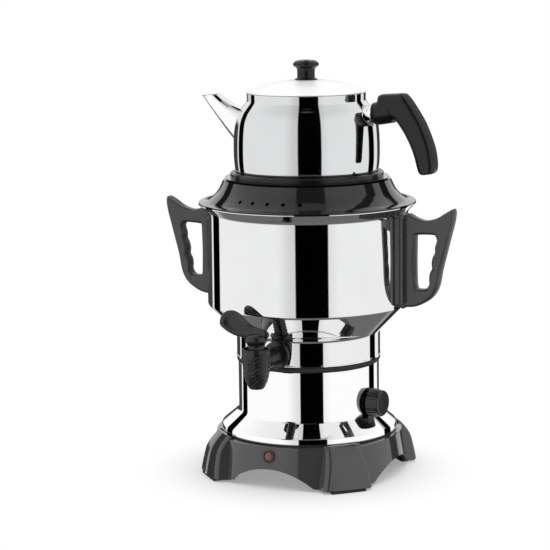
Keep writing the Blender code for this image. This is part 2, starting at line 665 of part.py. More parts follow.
def foot_ring():
    """Turned outer form of the feet, from inside the skirt's wall out to the toes."""
    half = BASE_WALL / 2
    top = (BASE_RIM_RADIUS, BASE_HEIGHT - FOOT_TOP_DROP)
    toe = (BASE_RIM_RADIUS + FOOT_OUTREACH, FOOT_Z)
    root = [(skirt_radius(FOOT_Z) - half, FOOT_Z), (BASE_RIM_RADIUS - half, BASE_HEIGHT - FOOT_TOP_DROP)]
    return turned("feet_form", stretch(top, toe, FOOT_SHARES) + root, ring=True)


def foot_wedge(azimuth_deg):
    """Block that is narrow above and outside, wide below and towards the skirt."""
    inner, outer = BASE_RIM_RADIUS - BASE_WALL, BASE_RIM_RADIUS + FOOT_OUTREACH + OVERRUN
    shape = bmesh.new()
    bmesh.ops.create_cube(shape, size=2.0)
    for corner in shape.verts:
        width = FOOT_TOP_WIDTH if corner.co.z > 0 else FOOT_BOTTOM_WIDTH
        half = width / 2 + (0.0 if corner.co.y > 0 else FOOT_SIDE_SPLAY)
        reach = outer if corner.co.y > 0 else inner
        height = BASE_HEIGHT + OVERRUN if corner.co.z > 0 else FOOT_Z - OVERRUN
        corner.co = Vector((corner.co.x * half, -reach, height))
    bmesh.ops.recalc_face_normals(shape, faces=shape.faces)
    mesh = bpy.data.meshes.new("foot_wedge")
    shape.to_mesh(mesh)
    shape.free()
    wedge = add_object("foot_wedge", mesh)
    wedge.rotation_euler = (0.0, 0.0, math.radians(azimuth_deg))
    return wedge


def make_base():
    """Base housing: skirt with four pylon feet, arches between them and bosses for the plate."""
    base = skirt_ring()
    form = foot_ring()
    for azimuth in foot_azimuths():
        wedge = combine(foot_wedge(azimuth), form, "INTERSECT")
        join(base, bake(wedge))
        deck_under = LEDGE_Z - BASE_WALL / 2
        boss_end = PLATE_HEIGHT + PLATE_THICKNESS + CLEAR
        join(base, rod("boss", around(BOSS_PITCH_RADIUS, azimuth, deck_under),
                       around(BOSS_PITCH_RADIUS, azimuth, boss_end), BOSS_RADIUS, steps=SCREW_STEPS))
    arch_radius = ((ARCH_WIDTH / 2) ** 2 + ARCH_HEIGHT ** 2) / (2 * ARCH_HEIGHT)
    reach = BASE_RIM_RADIUS + FOOT_OUTREACH + OVERRUN
    for azimuth in (0.0, 90.0):
        start = around(reach, azimuth, ARCH_HEIGHT - arch_radius)
        end = around(-reach, azimuth, ARCH_HEIGHT - arch_radius)
        cut(base, rod("arch_cutter", start, end, arch_radius, steps=2 * BIG_STEPS))
    for azimuth in foot_azimuths():
        bottom = PLATE_HEIGHT
        cut(base, rod("boss_hole", around(BOSS_PITCH_RADIUS, azimuth, bottom),
                      around(BOSS_PITCH_RADIUS, azimuth, bottom + PLATE_SCREW_LENGTH + CLEAR),
                      SCREW_RADIUS + CLEAR, steps=SCREW_STEPS))
        cut(base, rod("peg_hole", around(pad_radius(), azimuth, 0.0),
                      around(pad_radius(), azimuth, PAD_THICKNESS + PAD_PEG_HEIGHT + CLEAR),
                      PAD_PEG_RADIUS + CLEAR, steps=SCREW_STEPS))
    lamp_hole = rod("lamp_hole", (0.0, 0.0, OVERRUN), (0.0, 0.0, -2 * BASE_WALL), LAMP_BARREL_RADIUS + CLEAR)
    gland_hole = rod("gland_hole", (0.0, 0.0, OVERRUN), (0.0, 0.0, -2 * BASE_WALL),
                     GLAND_BARREL_RADIUS + CLEAR)
    cut(base, on_skirt(lamp_hole, 0.0, LAMP_HEIGHT), on_skirt(gland_hole, 180.0, GLAND_HEIGHT))
    return bake(base)


def pad_radius():
    """Radius at which the pads lie, in the middle of the feet's undersides."""
    return BASE_RIM_RADIUS + FOOT_OUTREACH * FOOT_SHARES[-1][0] - PAD_WIDTH / 2 - PAD_EDGE


def make_pads():
    """Rubber pad under each foot, with a peg that holds it."""
    for index, azimuth in enumerate(foot_azimuths(), start=1):
        pad = box("foot_pad_%d" % index, (PAD_LENGTH, PAD_WIDTH, PAD_THICKNESS),
                  (0.0, 0.0, PAD_THICKNESS / 2), "rubber")
        bevel(pad, PAD_EDGE)
        peg = rod("pad_peg", (0.0, 0.0, PAD_THICKNESS / 2), (0.0, 0.0, PAD_THICKNESS + PAD_PEG_HEIGHT),
                  PAD_PEG_RADIUS, steps=SCREW_STEPS)
        join(pad, peg)
        bake(pad)
        pad.location = around(pad_radius(), azimuth, 0.0)
        pad.rotation_euler = (0.0, 0.0, math.radians(azimuth))


def make_bottom_plate():
    """Pressed plate with air holes that closes the base, and its four screws."""
    top = PLATE_HEIGHT + PLATE_THICKNESS
    plate = rod("bottom_plate", (0.0, 0.0, PLATE_HEIGHT), (0.0, 0.0, top), PLATE_RADIUS, "plain_steel",
                steps=BIG_STEPS)
    cut(plate, rod("plate_rod_hole", (0.0, 0.0, PLATE_HEIGHT - OVERRUN), (0.0, 0.0, top + OVERRUN),
                   ROD_RADIUS + CLEAR, steps=SCREW_STEPS))
    for index in range(PLATE_VENT_COUNT):
        azimuth = 360.0 * index / PLATE_VENT_COUNT
        cut(plate, rod("plate_vent", around(PLATE_VENT_PITCH_RADIUS, azimuth, PLATE_HEIGHT - OVERRUN),
                       around(PLATE_VENT_PITCH_RADIUS, azimuth, top + OVERRUN), PLATE_VENT_RADIUS,
                       steps=SCREW_STEPS))
    for azimuth in foot_azimuths():
        cut(plate, rod("plate_screw_hole", around(BOSS_PITCH_RADIUS, azimuth, PLATE_HEIGHT - OVERRUN),
                       around(BOSS_PITCH_RADIUS, azimuth, top + OVERRUN), SCREW_RADIUS + CLEAR,
                       steps=SCREW_STEPS))
    bake(plate)
    for index, azimuth in enumerate(foot_azimuths(), start=1):
        screw = pan_screw("plate_screw_%d" % index, PLATE_SCREW_LENGTH)
        screw.location = around(BOSS_PITCH_RADIUS, azimuth, PLATE_HEIGHT - CLEAR)


def pan_screw(name, length):
    """Pan-head screw with its shaft along +Z and its seat at the origin."""
    edge = SCREW_HEAD_HEIGHT / 3
    profile = [(0.0, length), (SCREW_RADIUS, length), (SCREW_RADIUS, 0.0), (SCREW_HEAD_RADIUS, 0.0),
               (SCREW_HEAD_RADIUS, edge - SCREW_HEAD_HEIGHT), (SCREW_HEAD_RADIUS - edge, -SCREW_HEAD_HEIGHT),
               (0.0, -SCREW_HEAD_HEIGHT)]
    return turned(name, profile, "plain_steel", steps=SCREW_STEPS)


def make_pilot_lamp():
    """Bezel, red lens and lamp holder in the skirt's front; local +Z points outwards."""
    bore = LAMP_LENS_RADIUS + CLEAR
    bezel = turned("pilot_bezel", [(LAMP_BEZEL_RADIUS - LAMP_BEZEL_DEPTH / 2, LAMP_BEZEL_DEPTH),
                                   (LAMP_BEZEL_RADIUS, LAMP_BEZEL_DEPTH / 2), (LAMP_BEZEL_RADIUS, 0.0),
                                   (LAMP_BARREL_RADIUS, 0.0), (LAMP_BARREL_RADIUS, -LAMP_BARREL_LENGTH),
                                   (bore, -LAMP_BARREL_LENGTH), (bore, LAMP_BEZEL_DEPTH)],
                   "satin_black", steps=SMALL_STEPS, ring=True)
    lens_top = LAMP_BEZEL_DEPTH / 2
    lens = turned("pilot_lens", [(0.0, lens_top + LAMP_LENS_DOME),
                                 (LAMP_LENS_RADIUS * 0.5, lens_top + LAMP_LENS_DOME * 0.8),
                                 (LAMP_LENS_RADIUS * 0.87, lens_top + LAMP_LENS_DOME * 0.35),
                                 (LAMP_LENS_RADIUS, lens_top - LAMP_LENS_DOME / 2),
                                 (LAMP_LENS_RADIUS, -LAMP_BARREL_LENGTH / 2), (0.0, -LAMP_BARREL_LENGTH / 2)],
                  "red_lens", steps=SMALL_STEPS)
    holder_top = -LAMP_BARREL_LENGTH / 2 - CLEAR
    holder_end = -LAMP_BARREL_LENGTH - LAMP_LENS_RADIUS
    holder = turned("pilot_lamp_holder", [(0.0, holder_top), (LAMP_LENS_RADIUS, holder_top),
                                          (LAMP_LENS_RADIUS, holder_end), (0.0, holder_end)],
                    "white_plastic", steps=SCREW_STEPS)
    for item in (bezel, lens, holder):
        on_skirt(item, 0.0, LAMP_HEIGHT)


def make_cord_gland():
    """Bush in the skirt's back that the supply cord would pass; local +Z points outwards."""
    gland = turned("cord_gland", [(GLAND_FLANGE_RADIUS - GLAND_FLANGE_DEPTH / 2, GLAND_FLANGE_DEPTH),
                                  (GLAND_FLANGE_RADIUS, GLAND_FLANGE_DEPTH / 2), (GLAND_FLANGE_RADIUS, 0.0),
                                  (GLAND_BARREL_RADIUS, 0.0), (GLAND_BARREL_RADIUS, -GLAND_BARREL_LENGTH),
                                  (GLAND_BORE_RADIUS, -GLAND_BARREL_LENGTH),
                                  (GLAND_BORE_RADIUS, GLAND_FLANGE_DEPTH)],
                   "satin_black", steps=SMALL_STEPS, ring=True)
    on_skirt(gland, 180.0, GLAND_HEIGHT)


def make_sleeve():
    """Stand sleeve of sheet steel: turned-in top, straight wall, flared foot and upright lip."""
    corners = [(SLEEVE_TOP_OPENING_RADIUS, SLEEVE_TOP_Z, 0.0), (SLEEVE_RADIUS, SLEEVE_TOP_Z, SHEET),
               (SLEEVE_RADIUS, LIP_Z + FLARE_START, FLARE_TOP_FILLET),
               (FLARE_RADIUS, LIP_Z + FLARE_LIP, FLARE_LIP_FILLET), (FLARE_RADIUS, LIP_Z, 0.0)]
    sleeve = turned("stand_sleeve", rounded(corners), "polished_steel", wall=SHEET)
    inside = SLEEVE_RADIUS - SHEET - OVERRUN
    outside = SLEEVE_RADIUS + OVERRUN
    cut(sleeve, rod("thermostat_hole", around(inside, THERMOSTAT_AZIMUTH_DEG, THERMOSTAT_HEIGHT),
                    around(outside, THERMOSTAT_AZIMUTH_DEG, THERMOSTAT_HEIGHT), BUSHING_RADIUS + CLEAR))
    return bake(sleeve)


def make_seat_ring():
    """Beaded ring on the stand's turned-in top, under the tank's floor."""
    top = SEAT_RING_Z + SEAT_RING_HEIGHT
    middle = SEAT_RING_Z + SEAT_RING_HEIGHT / 2
    inner = SEAT_RING_INNER_RADIUS
    side = SEAT_RING_RADIUS - SEAT_RING_EDGE
    turned("seat_ring", [(side, top), (SEAT_RING_RADIUS, middle), (side, SEAT_RING_Z), (inner, SEAT_RING_Z),
                         (inner, top)], "rubber", ring=True)


def tank_corners(grow=0.0):
    """Tank's outer outline from the rim to the floor's edge, grown outwards by a clearance."""
    slope_grow = grow * math.tan(math.radians(90.0) / 4)
    rim_drop = TANK_WALL * math.cos(math.atan2(RIM_HEIGHT, RIM_OUTREACH))
    return [(TANK_RADIUS + RIM_OUTREACH + grow, TANK_TOP_Z - rim_drop, 0.0),
            (TANK_RADIUS + grow, RIM_Z - slope_grow, TANK_FILLET),
            (TANK_RADIUS + grow, WALL_Z - slope_grow, TANK_FILLET),
            (NECK_RADIUS + grow, CONE_Z - slope_grow, TANK_FILLET),
            (NECK_RADIUS + grow, TANK_Z - grow, FLOOR_FILLET)]


def tank_envelope():
    """Solid of the tank's outer form with a clearance, to fit pieces against it."""
    top = TANK_TOP_Z + OVERRUN
    lip = TANK_RADIUS + RIM_OUTREACH * (1.0 + OVERRUN / RIM_HEIGHT) + CLEAR
    corners = [(0.0, top, 0.0), (lip, top, 0.0)] + tank_corners(CLEAR)[1:] + [(0.0, TANK_Z - CLEAR, 0.0)]
    return turned("tank_envelope", rounded(corners))


def make_tank():
    """Water tank: flared rim, straight wall, sloping shoulder and narrow neck, with the tap's hole."""
    corners = tank_corners() + [(0.0, TANK_Z, 0.0)]
    tank = turned("water_tank", rounded(corners), "polished_steel", wall=TANK_WALL)
    start = (0.0, -(NECK_RADIUS - TANK_WALL - OVERRUN), TAP_PIPE_HEIGHT)
    end = (0.0, -(NECK_RADIUS + OVERRUN), TAP_PIPE_HEIGHT)
    cut(tank, rod("tap_hole", start, end, SHANK_RADIUS + CLEAR))
    for height in handle_screw_heights():
        for azimuth in (-90.0, 90.0):
            cut(tank, rod("tank_screw_hole", around(TANK_RADIUS - TANK_WALL - OVERRUN, azimuth, height),
                          around(TANK_RADIUS + OVERRUN, azimuth, height), SCREW_RADIUS + CLEAR,
                          steps=SCREW_STEPS))
    return bake(tank)


def make_heater():
    """Heating plate, tubular element, clamping bar, cut-out and the rod that ties the stand together."""
    hole = ROD_RADIUS + CLEAR
    heater_top = HEATER_Z + HEATER_PLATE_THICKNESS
    plate = rod("heater_plate", (0.0, 0.0, HEATER_Z), (0.0, 0.0, heater_top), HEATER_PLATE_RADIUS, "aluminium",
                steps=BIG_STEPS)
    cut(plate, rod("heater_rod_hole", (0.0, 0.0, HEATER_Z - OVERRUN), (0.0, 0.0, heater_top + OVERRUN), hole,
                   steps=SCREW_STEPS))
    bake(plate)
    turns = 20
    start, end = 180.0 + ELEMENT_GAP_DEG, 540.0 - ELEMENT_GAP_DEG
    ring = [around(ELEMENT_RADIUS, start + (end - start) * step / turns, ELEMENT_Z) for step in range(turns + 1)]
    first = around(ELEMENT_RADIUS, start, ELEMENT_Z - ELEMENT_LEG)
    last = around(ELEMENT_RADIUS, end, ELEMENT_Z - ELEMENT_LEG)
    tube("heating_element", [first] + ring + [last], ELEMENT_TUBE_RADIUS, "plain_steel", resolution=1)
    bar = box("element_clamp", (CLAMP_LENGTH, CLAMP_WIDTH, CLAMP_THICKNESS),
              (0.0, 0.0, CLAMP_Z + CLAMP_THICKNESS / 2), "plain_steel")
    cut(bar, rod("clamp_hole", (0.0, 0.0, CLAMP_Z - OVERRUN), (0.0, 0.0, CLAMP_Z + CLAMP_THICKNESS + OVERRUN),
                 hole, steps=SCREW_STEPS))
    bake(bar)
    cutout_top = CLAMP_Z - CLEAR
    rod("thermal_cutout", (CUTOUT_OFFSET, 0.0, cutout_top - CUTOUT_HEIGHT), (CUTOUT_OFFSET, 0.0, cutout_top),
        CUTOUT_RADIUS, "white_plastic")
    hex_nut("clamp_nut", CLAMP_Z - CLEAR, NUT_HEIGHT)
    hex_nut("tie_nut", PLATE_HEIGHT - CLEAR, TIE_NUT_HEIGHT)
    rod("tie_rod", (0.0, 0.0, PLATE_HEIGHT - CLEAR - TIE_NUT_HEIGHT), (0.0, 0.0, TANK_Z - CLEAR), ROD_RADIUS,
        "plain_steel", steps=SCREW_STEPS)
    block_base = PLATE_HEIGHT + PLATE_THICKNESS + CLEAR
    block = box("terminal_block", (TERMINAL_LENGTH, TERMINAL_WIDTH, TERMINAL_HEIGHT),
                (0.0, TERMINAL_OFFSET, block_base + TERMINAL_HEIGHT / 2), "white_plastic")
    bevel(block, PAD_EDGE)


def hex_nut(name, top, height):
    """Hexagon nut on the tie rod, with its top face at a height."""
    nut = rod(name, (0.0, 0.0, top - height), (0.0, 0.0, top), NUT_RADIUS, "brass", steps=6)
    cut(nut, rod(name + "_bore", (0.0, 0.0, top - height - OVERRUN), (0.0, 0.0, top + OVERRUN),
                 ROD_RADIUS + CLEAR, steps=SCREW_STEPS))
    return bake(nut)


def make_thermostat():
    """Thermostat inside the stand, its nut outside, and the shaft and knob that turn; +Z is outwards."""
    axis = add_axis("thermostat_axis", around(SLEEVE_RADIUS, THERMOSTAT_AZIMUTH_DEG, THERMOSTAT_HEIGHT),
                    (math.radians(90.0), 0.0, math.radians(THERMOSTAT_AZIMUTH_DEG)))
    shaft_hole = SHAFT_RADIUS + CLEAR
    face = -SHEET - BUSHING_RADIUS
    body = box("thermostat_body", (THERMOSTAT_WIDTH, THERMOSTAT_TALL, THERMOSTAT_DEPTH),
               (0.0, 0.0, face - THERMOSTAT_DEPTH / 2), "white_plastic")
    bevel(body, PAD_EDGE)
    bushing = rod("bushing", (0.0, 0.0, face - THERMOSTAT_DEPTH / 2), (0.0, 0.0, CLEAR + BUSHING_NUT_DEPTH),
                  BUSHING_RADIUS)
    shaft_bore = rod("shaft_bore", (0.0, 0.0, face - THERMOSTAT_DEPTH / 2),
                     (0.0, 0.0, BUSHING_NUT_DEPTH + OVERRUN), shaft_hole)
    for item in (body, bushing, shaft_bore):
        item.parent = axis
    join(body, bushing)
    bake(cut(body, shaft_bore))
    nut = rod("thermostat_nut", (0.0, 0.0, CLEAR), (0.0, 0.0, CLEAR + BUSHING_NUT_DEPTH), BUSHING_NUT_RADIUS,
              "plain_steel", steps=6)
    nut_bore = rod("thermostat_nut_bore", (0.0, 0.0, CLEAR - OVERRUN), (0.0, 0.0, BUSHING_NUT_DEPTH + OVERRUN),
                   BUSHING_RADIUS + CLEAR)
    for child in (nut, nut_bore):
        child.parent = axis
    bake(cut(nut, nut_bore))
    knob_floor = KNOB_STANDOFF + KNOB_RECESS_DEPTH
    knob_top = KNOB_STANDOFF + KNOB_DEPTH
    shaft_end = knob_top - KNOB_RECESS_DEPTH
    shaft = rod("thermostat_shaft", (0.0, 0.0, face - THERMOSTAT_DEPTH / 2 + CLEAR),
                (0.0, 0.0, shaft_end - CLEAR), SHAFT_RADIUS, "brass")
    knob = turned("thermostat_knob", [(0.0, knob_top), (KNOB_FACE_RADIUS - KNOB_EDGE, knob_top),
                                      (KNOB_FACE_RADIUS, knob_top - KNOB_EDGE), (KNOB_RADIUS, KNOB_STANDOFF),
                                      (KNOB_RECESS_RADIUS, KNOB_STANDOFF), (KNOB_RECESS_RADIUS, knob_floor),
                                      (shaft_hole, knob_floor), (shaft_hole, shaft_end), (0.0, shaft_end)],
                  "satin_black", steps=BIG_STEPS)
    shaft.parent = axis
    knob.parent = axis


def barrel_profile(shrink=0.0):
    """Outer outline of the tap's barrel from its top to its outlet, less a depth."""
    start = (TAP_BARREL_RADIUS, TAP_PIPE_HEIGHT + TAP_TAPER_START)
    end = (TAP_NOZZLE_RADIUS, TAP_BOTTOM_Z)
    line = [(TAP_BARREL_RADIUS, TAP_TOP_Z)] + stretch(start, end, TAP_TAPER_SHARES)
    return [(radius - shrink, height) for radius, height in line]


def chevron_cutter():
    """Bent plates that rise from the barrel's middle to both sides, opened to leave its core."""
    slope = math.radians(CHEVRON_SLOPE_DEG)
    reach = TAP_BARREL_RADIUS + OVERRUN
    plates = None
    for index in range(CHEVRON_COUNT):
        low = TAP_PIPE_HEIGHT + CHEVRON_TOP - CHEVRON_PITCH * index
        high = low + reach * math.tan(slope)
        loop = [(-reach, high), (0.0, low), (reach, high), (reach, high + CHEVRON_WIDTH),
                (0.0, low + CHEVRON_WIDTH), (-reach, high + CHEVRON_WIDTH)]
        plate = flat_piece("chevron_plate", [loop], 2 * reach, 0.0)
        plate.location = (0.0, -TAP_REACH, 0.0)
        if plates is None:
            plates = plate
        else:
            join(plates, plate)
    core = turned("barrel_core", [(0.0, TAP_TOP_Z + reach)] + barrel_profile(CHEVRON_DEPTH)
                  + [(0.0, TAP_BOTTOM_Z)], steps=SMALL_STEPS)
    core.location = (0.0, -TAP_REACH, 0.0)
    back = box("chevron_back", (2 * reach, reach, 4 * reach), (0.0, reach / 2, TAP_PIPE_HEIGHT))
    back.location = (0.0, -TAP_REACH + PIPE_RADIUS / 2, 0.0)
    return bake(cut(plates, core, back))


def pipe_profile():
    """Ribbed pipe, flange and threaded shank along the pipe's axis, from the barrel to the tank."""
    start = TAP_REACH - TAP_BARREL_RADIUS * 0.8
    flange = NECK_RADIUS + CLEAR + TAP_WASHER_THICKNESS + CLEAR
    rib_start = TAP_REACH - TAP_BARREL_RADIUS
    pitch = (rib_start - flange - FLANGE_THICKNESS) / PIPE_RIB_COUNT
    line = [(0.0, start), (PIPE_RADIUS, start)]
    for index in range(PIPE_RIB_COUNT):
        crest = rib_start - pitch * index
        line += [(PIPE_RADIUS, crest - pitch * 0.35), (PIPE_RADIUS - PIPE_RIB_DEPTH, crest - pitch * 0.5),
                 (PIPE_RADIUS, crest - pitch * 0.65)]
    line += [(PIPE_RADIUS, flange + FLANGE_THICKNESS), (FLANGE_RADIUS, flange + FLANGE_THICKNESS),
             (FLANGE_RADIUS, flange), (SHANK_RADIUS, flange),
             (SHANK_RADIUS, NECK_RADIUS - SHANK_INSIDE), (0.0, NECK_RADIUS - SHANK_INSIDE)]
    return line


def along_pipe(item):
    """Lay an object that is turned about Z along the tap's pipe, with +Z towards the barrel."""
    item.location = (0.0, 0.0, TAP_PIPE_HEIGHT)
    item.rotation_euler = (math.radians(90.0), 0.0, 0.0)
    return item


def make_tap_body():
    """Tap barrel with its collar, chevron ribs and outlet, and the ribbed pipe that carries it."""
    collar_floor = TAP_TOP_Z - TAP_COLLAR_DEPTH
    seat = TAP_PIPE_HEIGHT - TAP_SEAT_BELOW
    inside = [(TAP_OUTLET_RADIUS, TAP_BOTTOM_Z), (TAP_OUTLET_RADIUS, seat), (TAP_BORE_RADIUS, seat),
              (TAP_BORE_RADIUS, collar_floor), (TAP_COLLAR_RADIUS, collar_floor), (TAP_COLLAR_RADIUS, TAP_TOP_Z)]
    outer = turned("tap_body", [(0.0, TAP_TOP_Z)] + barrel_profile() + [(0.0, TAP_BOTTOM_Z)], "satin_black",
                   steps=SMALL_STEPS)
    outer.location = (0.0, -TAP_REACH, 0.0)
    cut(outer, chevron_cutter())
    join(outer, along_pipe(turned("tap_pipe", pipe_profile(), steps=SMALL_STEPS)))
    below = [(TAP_OUTLET_RADIUS, TAP_BOTTOM_Z - OVERRUN)] + inside[1:-1]
    above = [(TAP_COLLAR_RADIUS, TAP_TOP_Z + OVERRUN)]
    bore = turned("tap_bore", [(0.0, TAP_TOP_Z + OVERRUN)] + above + below[::-1] + [(0.0, TAP_BOTTOM_Z - OVERRUN)],
                  steps=SMALL_STEPS)
    bore.location = outer.location
    inlet = rod("inlet_bore", (0.0, -TAP_REACH + TAP_BORE_RADIUS / 2, TAP_PIPE_HEIGHT),
                (0.0, -NECK_RADIUS + SHANK_INSIDE + OVERRUN, TAP_PIPE_HEIGHT), PIPE_BORE_RADIUS)
    return bake(cut(outer, bore, inlet))


def make_tap_fixing(envelope):
    """Washers on both sides of the tank's neck and the nut on the tap's shank."""
    bore = SHANK_RADIUS + CLEAR
    outside = NECK_RADIUS + CLEAR + TAP_WASHER_THICKNESS
    outer = turned("tap_outer_washer", [(TAP_WASHER_RADIUS, outside), (TAP_WASHER_RADIUS, NECK_RADIUS - OVERRUN),
                                        (bore, NECK_RADIUS - OVERRUN), (bore, outside)],
                   "rubber", steps=SMALL_STEPS, ring=True)
    bake(cut(along_pipe(outer), envelope))
    inside = NECK_RADIUS - TANK_WALL - CLEAR
    sag = inside - math.sqrt(inside ** 2 - TAP_INNER_WASHER_RADIUS ** 2)
    seat = inside - sag - TAP_WASHER_THICKNESS
    inner = turned("tap_inner_washer", [(TAP_INNER_WASHER_RADIUS, inside + OVERRUN),
                                        (TAP_INNER_WASHER_RADIUS, seat), (bore, seat), (bore, inside + OVERRUN)],
                   "rubber", steps=SMALL_STEPS, ring=True)
    neck_form = turned("neck_form", [(0.0, CONE_Z), (inside, CONE_Z), (inside, TANK_Z), (0.0, TANK_Z)])
    bake(combine(along_pipe(inner), neck_form, "INTERSECT"))
    nut_top = seat - CLEAR
    nut = rod("tap_nut", (0.0, -nut_top + TAP_NUT_THICKNESS, TAP_PIPE_HEIGHT),
              (0.0, -nut_top, TAP_PIPE_HEIGHT), TAP_NUT_RADIUS, "brass", steps=6)
    cut(nut, rod("tap_nut_bore", (0.0, -nut_top + TAP_NUT_THICKNESS + OVERRUN, TAP_PIPE_HEIGHT),
                 (0.0, -nut_top - OVERRUN, TAP_PIPE_HEIGHT), bore))
    bake(nut)


def make_plug(axis):
    """Hollow plug that turns in the barrel: side port, outlet below, seal groove, stem and drive."""
    radius = TAP_BORE_RADIUS - CLEAR
    foot = TAP_PIPE_HEIGHT - TAP_SEAT_BELOW + CLEAR
    shoulder = TAP_TOP_Z - TAP_COLLAR_DEPTH + CLEAR
    stem_top = TAP_TOP_Z + PLUG_STEM_RISE
    groove = TAP_PIPE_HEIGHT + PLUG_PORT_RADIUS + SEAL_ABOVE_PORT
    groove_top = groove + SEAL_WIDTH
    plug = turned("tap_plug", [(0.0, stem_top), (PLUG_STEM_RADIUS, stem_top), (PLUG_STEM_RADIUS, shoulder),
                               (radius, shoulder), (radius, groove_top), (radius - SEAL_GROOVE_DEPTH, groove_top),
                               (radius - SEAL_GROOVE_DEPTH, groove), (radius, groove), (radius, foot),
                               (0.0, foot)], "satin_black", steps=SMALL_STEPS)
    drive = box("plug_drive", (PLUG_DRIVE_WIDTH, PLUG_DRIVE_WIDTH, 2 * PLUG_DRIVE_HEIGHT),
                (0.0, 0.0, stem_top))
    port = rod("plug_port", (0.0, 0.0, TAP_PIPE_HEIGHT), (radius + OVERRUN, 0.0, TAP_PIPE_HEIGHT),
               PLUG_PORT_RADIUS, steps=SCREW_STEPS)
    drain = rod("plug_drain", (0.0, 0.0, foot - OVERRUN), (0.0, 0.0, TAP_PIPE_HEIGHT), PLUG_PORT_RADIUS,
                steps=SCREW_STEPS)
    pin_height = stem_top + PLUG_DRIVE_HEIGHT / 2
    reach = PLUG_STEM_RADIUS + OVERRUN
    pin_bore = rod("drive_pin_bore", (0.0, -reach, pin_height), (0.0, reach, pin_height),
                   KEY_PIN_RADIUS + CLEAR, steps=SCREW_STEPS)
    seal_out, seal_in = radius, radius - SEAL_GROOVE_DEPTH + CLEAR
    seal = turned("tap_seal", [(seal_out, groove_top - CLEAR), (seal_out, groove + CLEAR),
                               (seal_in, groove + CLEAR), (seal_in, groove_top - CLEAR)],
                  "rubber", steps=SMALL_STEPS, ring=True)
    for item in (plug, drive, port, drain, pin_bore, seal):
        item.parent = axis
    join(plug, drive)
    bake(cut(plug, drain, port, pin_bore))
    pin = rod("key_pin", (0.0, -(PLUG_STEM_RADIUS - CLEAR), pin_height),
              (0.0, PLUG_STEM_RADIUS - CLEAR, pin_height), KEY_PIN_RADIUS, "plain_steel", steps=SCREW_STEPS)
    pin.parent = axis
    return pin_height


def make_key(axis, pin_height):
    """Leaf-shaped key on the plug, broad and upright, pointing to -X, with a dished face."""
    tip = (-(KEY_LENGTH - KEY_HEEL), KEY_HEIGHT)
    heel = (KEY_HEEL, 0.0)
    key = flat_piece("tap_key", [stretch(heel, tip, KEY_OUTLINE_SHARES)], KEY_THICKNESS, KEY_ROUNDING,
                     "satin_black")
    centre = stretch(heel, tip, (KEY_DISH_PLACE_SHARES,))[0]
    span = [size * share for size, share in zip((KEY_LENGTH, KEY_HEIGHT), KEY_DISH_SPAN_SHARES)]
    for side in (-1.0, 1.0):
        dish = box("key_dish", (span[0], 2 * KEY_DISH_DEPTH, span[1]), (0.0, 0.0, 0.0))
        soft = dish.modifiers.new("soft", "SUBSURF")
        soft.levels = 2
        soft.render_levels = 2
        bake(dish)
        dish.location = (centre[0], side * KEY_THICKNESS / 2, centre[1])
        dish.rotation_euler = (0.0, math.radians(KEY_DISH_TURN_DEG), 0.0)
        cut(key, dish)
    bake(key)
    lean = Matrix.Translation((0.0, 0.0, KEY_Z)) @ Matrix.Rotation(-math.radians(KEY_LEAN_DEG), 4, "X")
    key.data.transform(lean)
    seat = TAP_TOP_Z + PLUG_STEM_RISE + CLEAR
    hub_top = seat + KEY_HUB_HEIGHT
    shoulder = seat + KEY_HUB_HEIGHT * KEY_HUB_SHOULDER_SHARE
    hub = turned("key_hub", [(0.0, hub_top), (KEY_HUB_TOP_RADIUS, hub_top), (KEY_HUB_RADIUS, shoulder),
                             (PLUG_STEM_RADIUS, seat), (0.0, seat)], steps=SMALL_STEPS)
    socket_width = PLUG_DRIVE_WIDTH + 2 * CLEAR
    socket_height = PLUG_DRIVE_HEIGHT + CLEAR
    socket = box("key_socket", (socket_width, socket_width, 2 * socket_height), (0.0, 0.0, seat - CLEAR))
    reach = KEY_HUB_RADIUS + OVERRUN
    pin_bore = rod("key_pin_bore", (0.0, -reach, pin_height), (0.0, reach, pin_height),
                   KEY_PIN_RADIUS + CLEAR, steps=SCREW_STEPS)
    for item in (key, hub, socket, pin_bore):
        item.parent = axis
    join(key, hub)
    bake(cut(key, socket, pin_bore))


def handle_screw_heights():
    """Heights of the two screws that hold a side handle."""
    return [HANDLE_Z + HANDLE_HEIGHT * share for share in HANDLE_SCREW_SHARES]


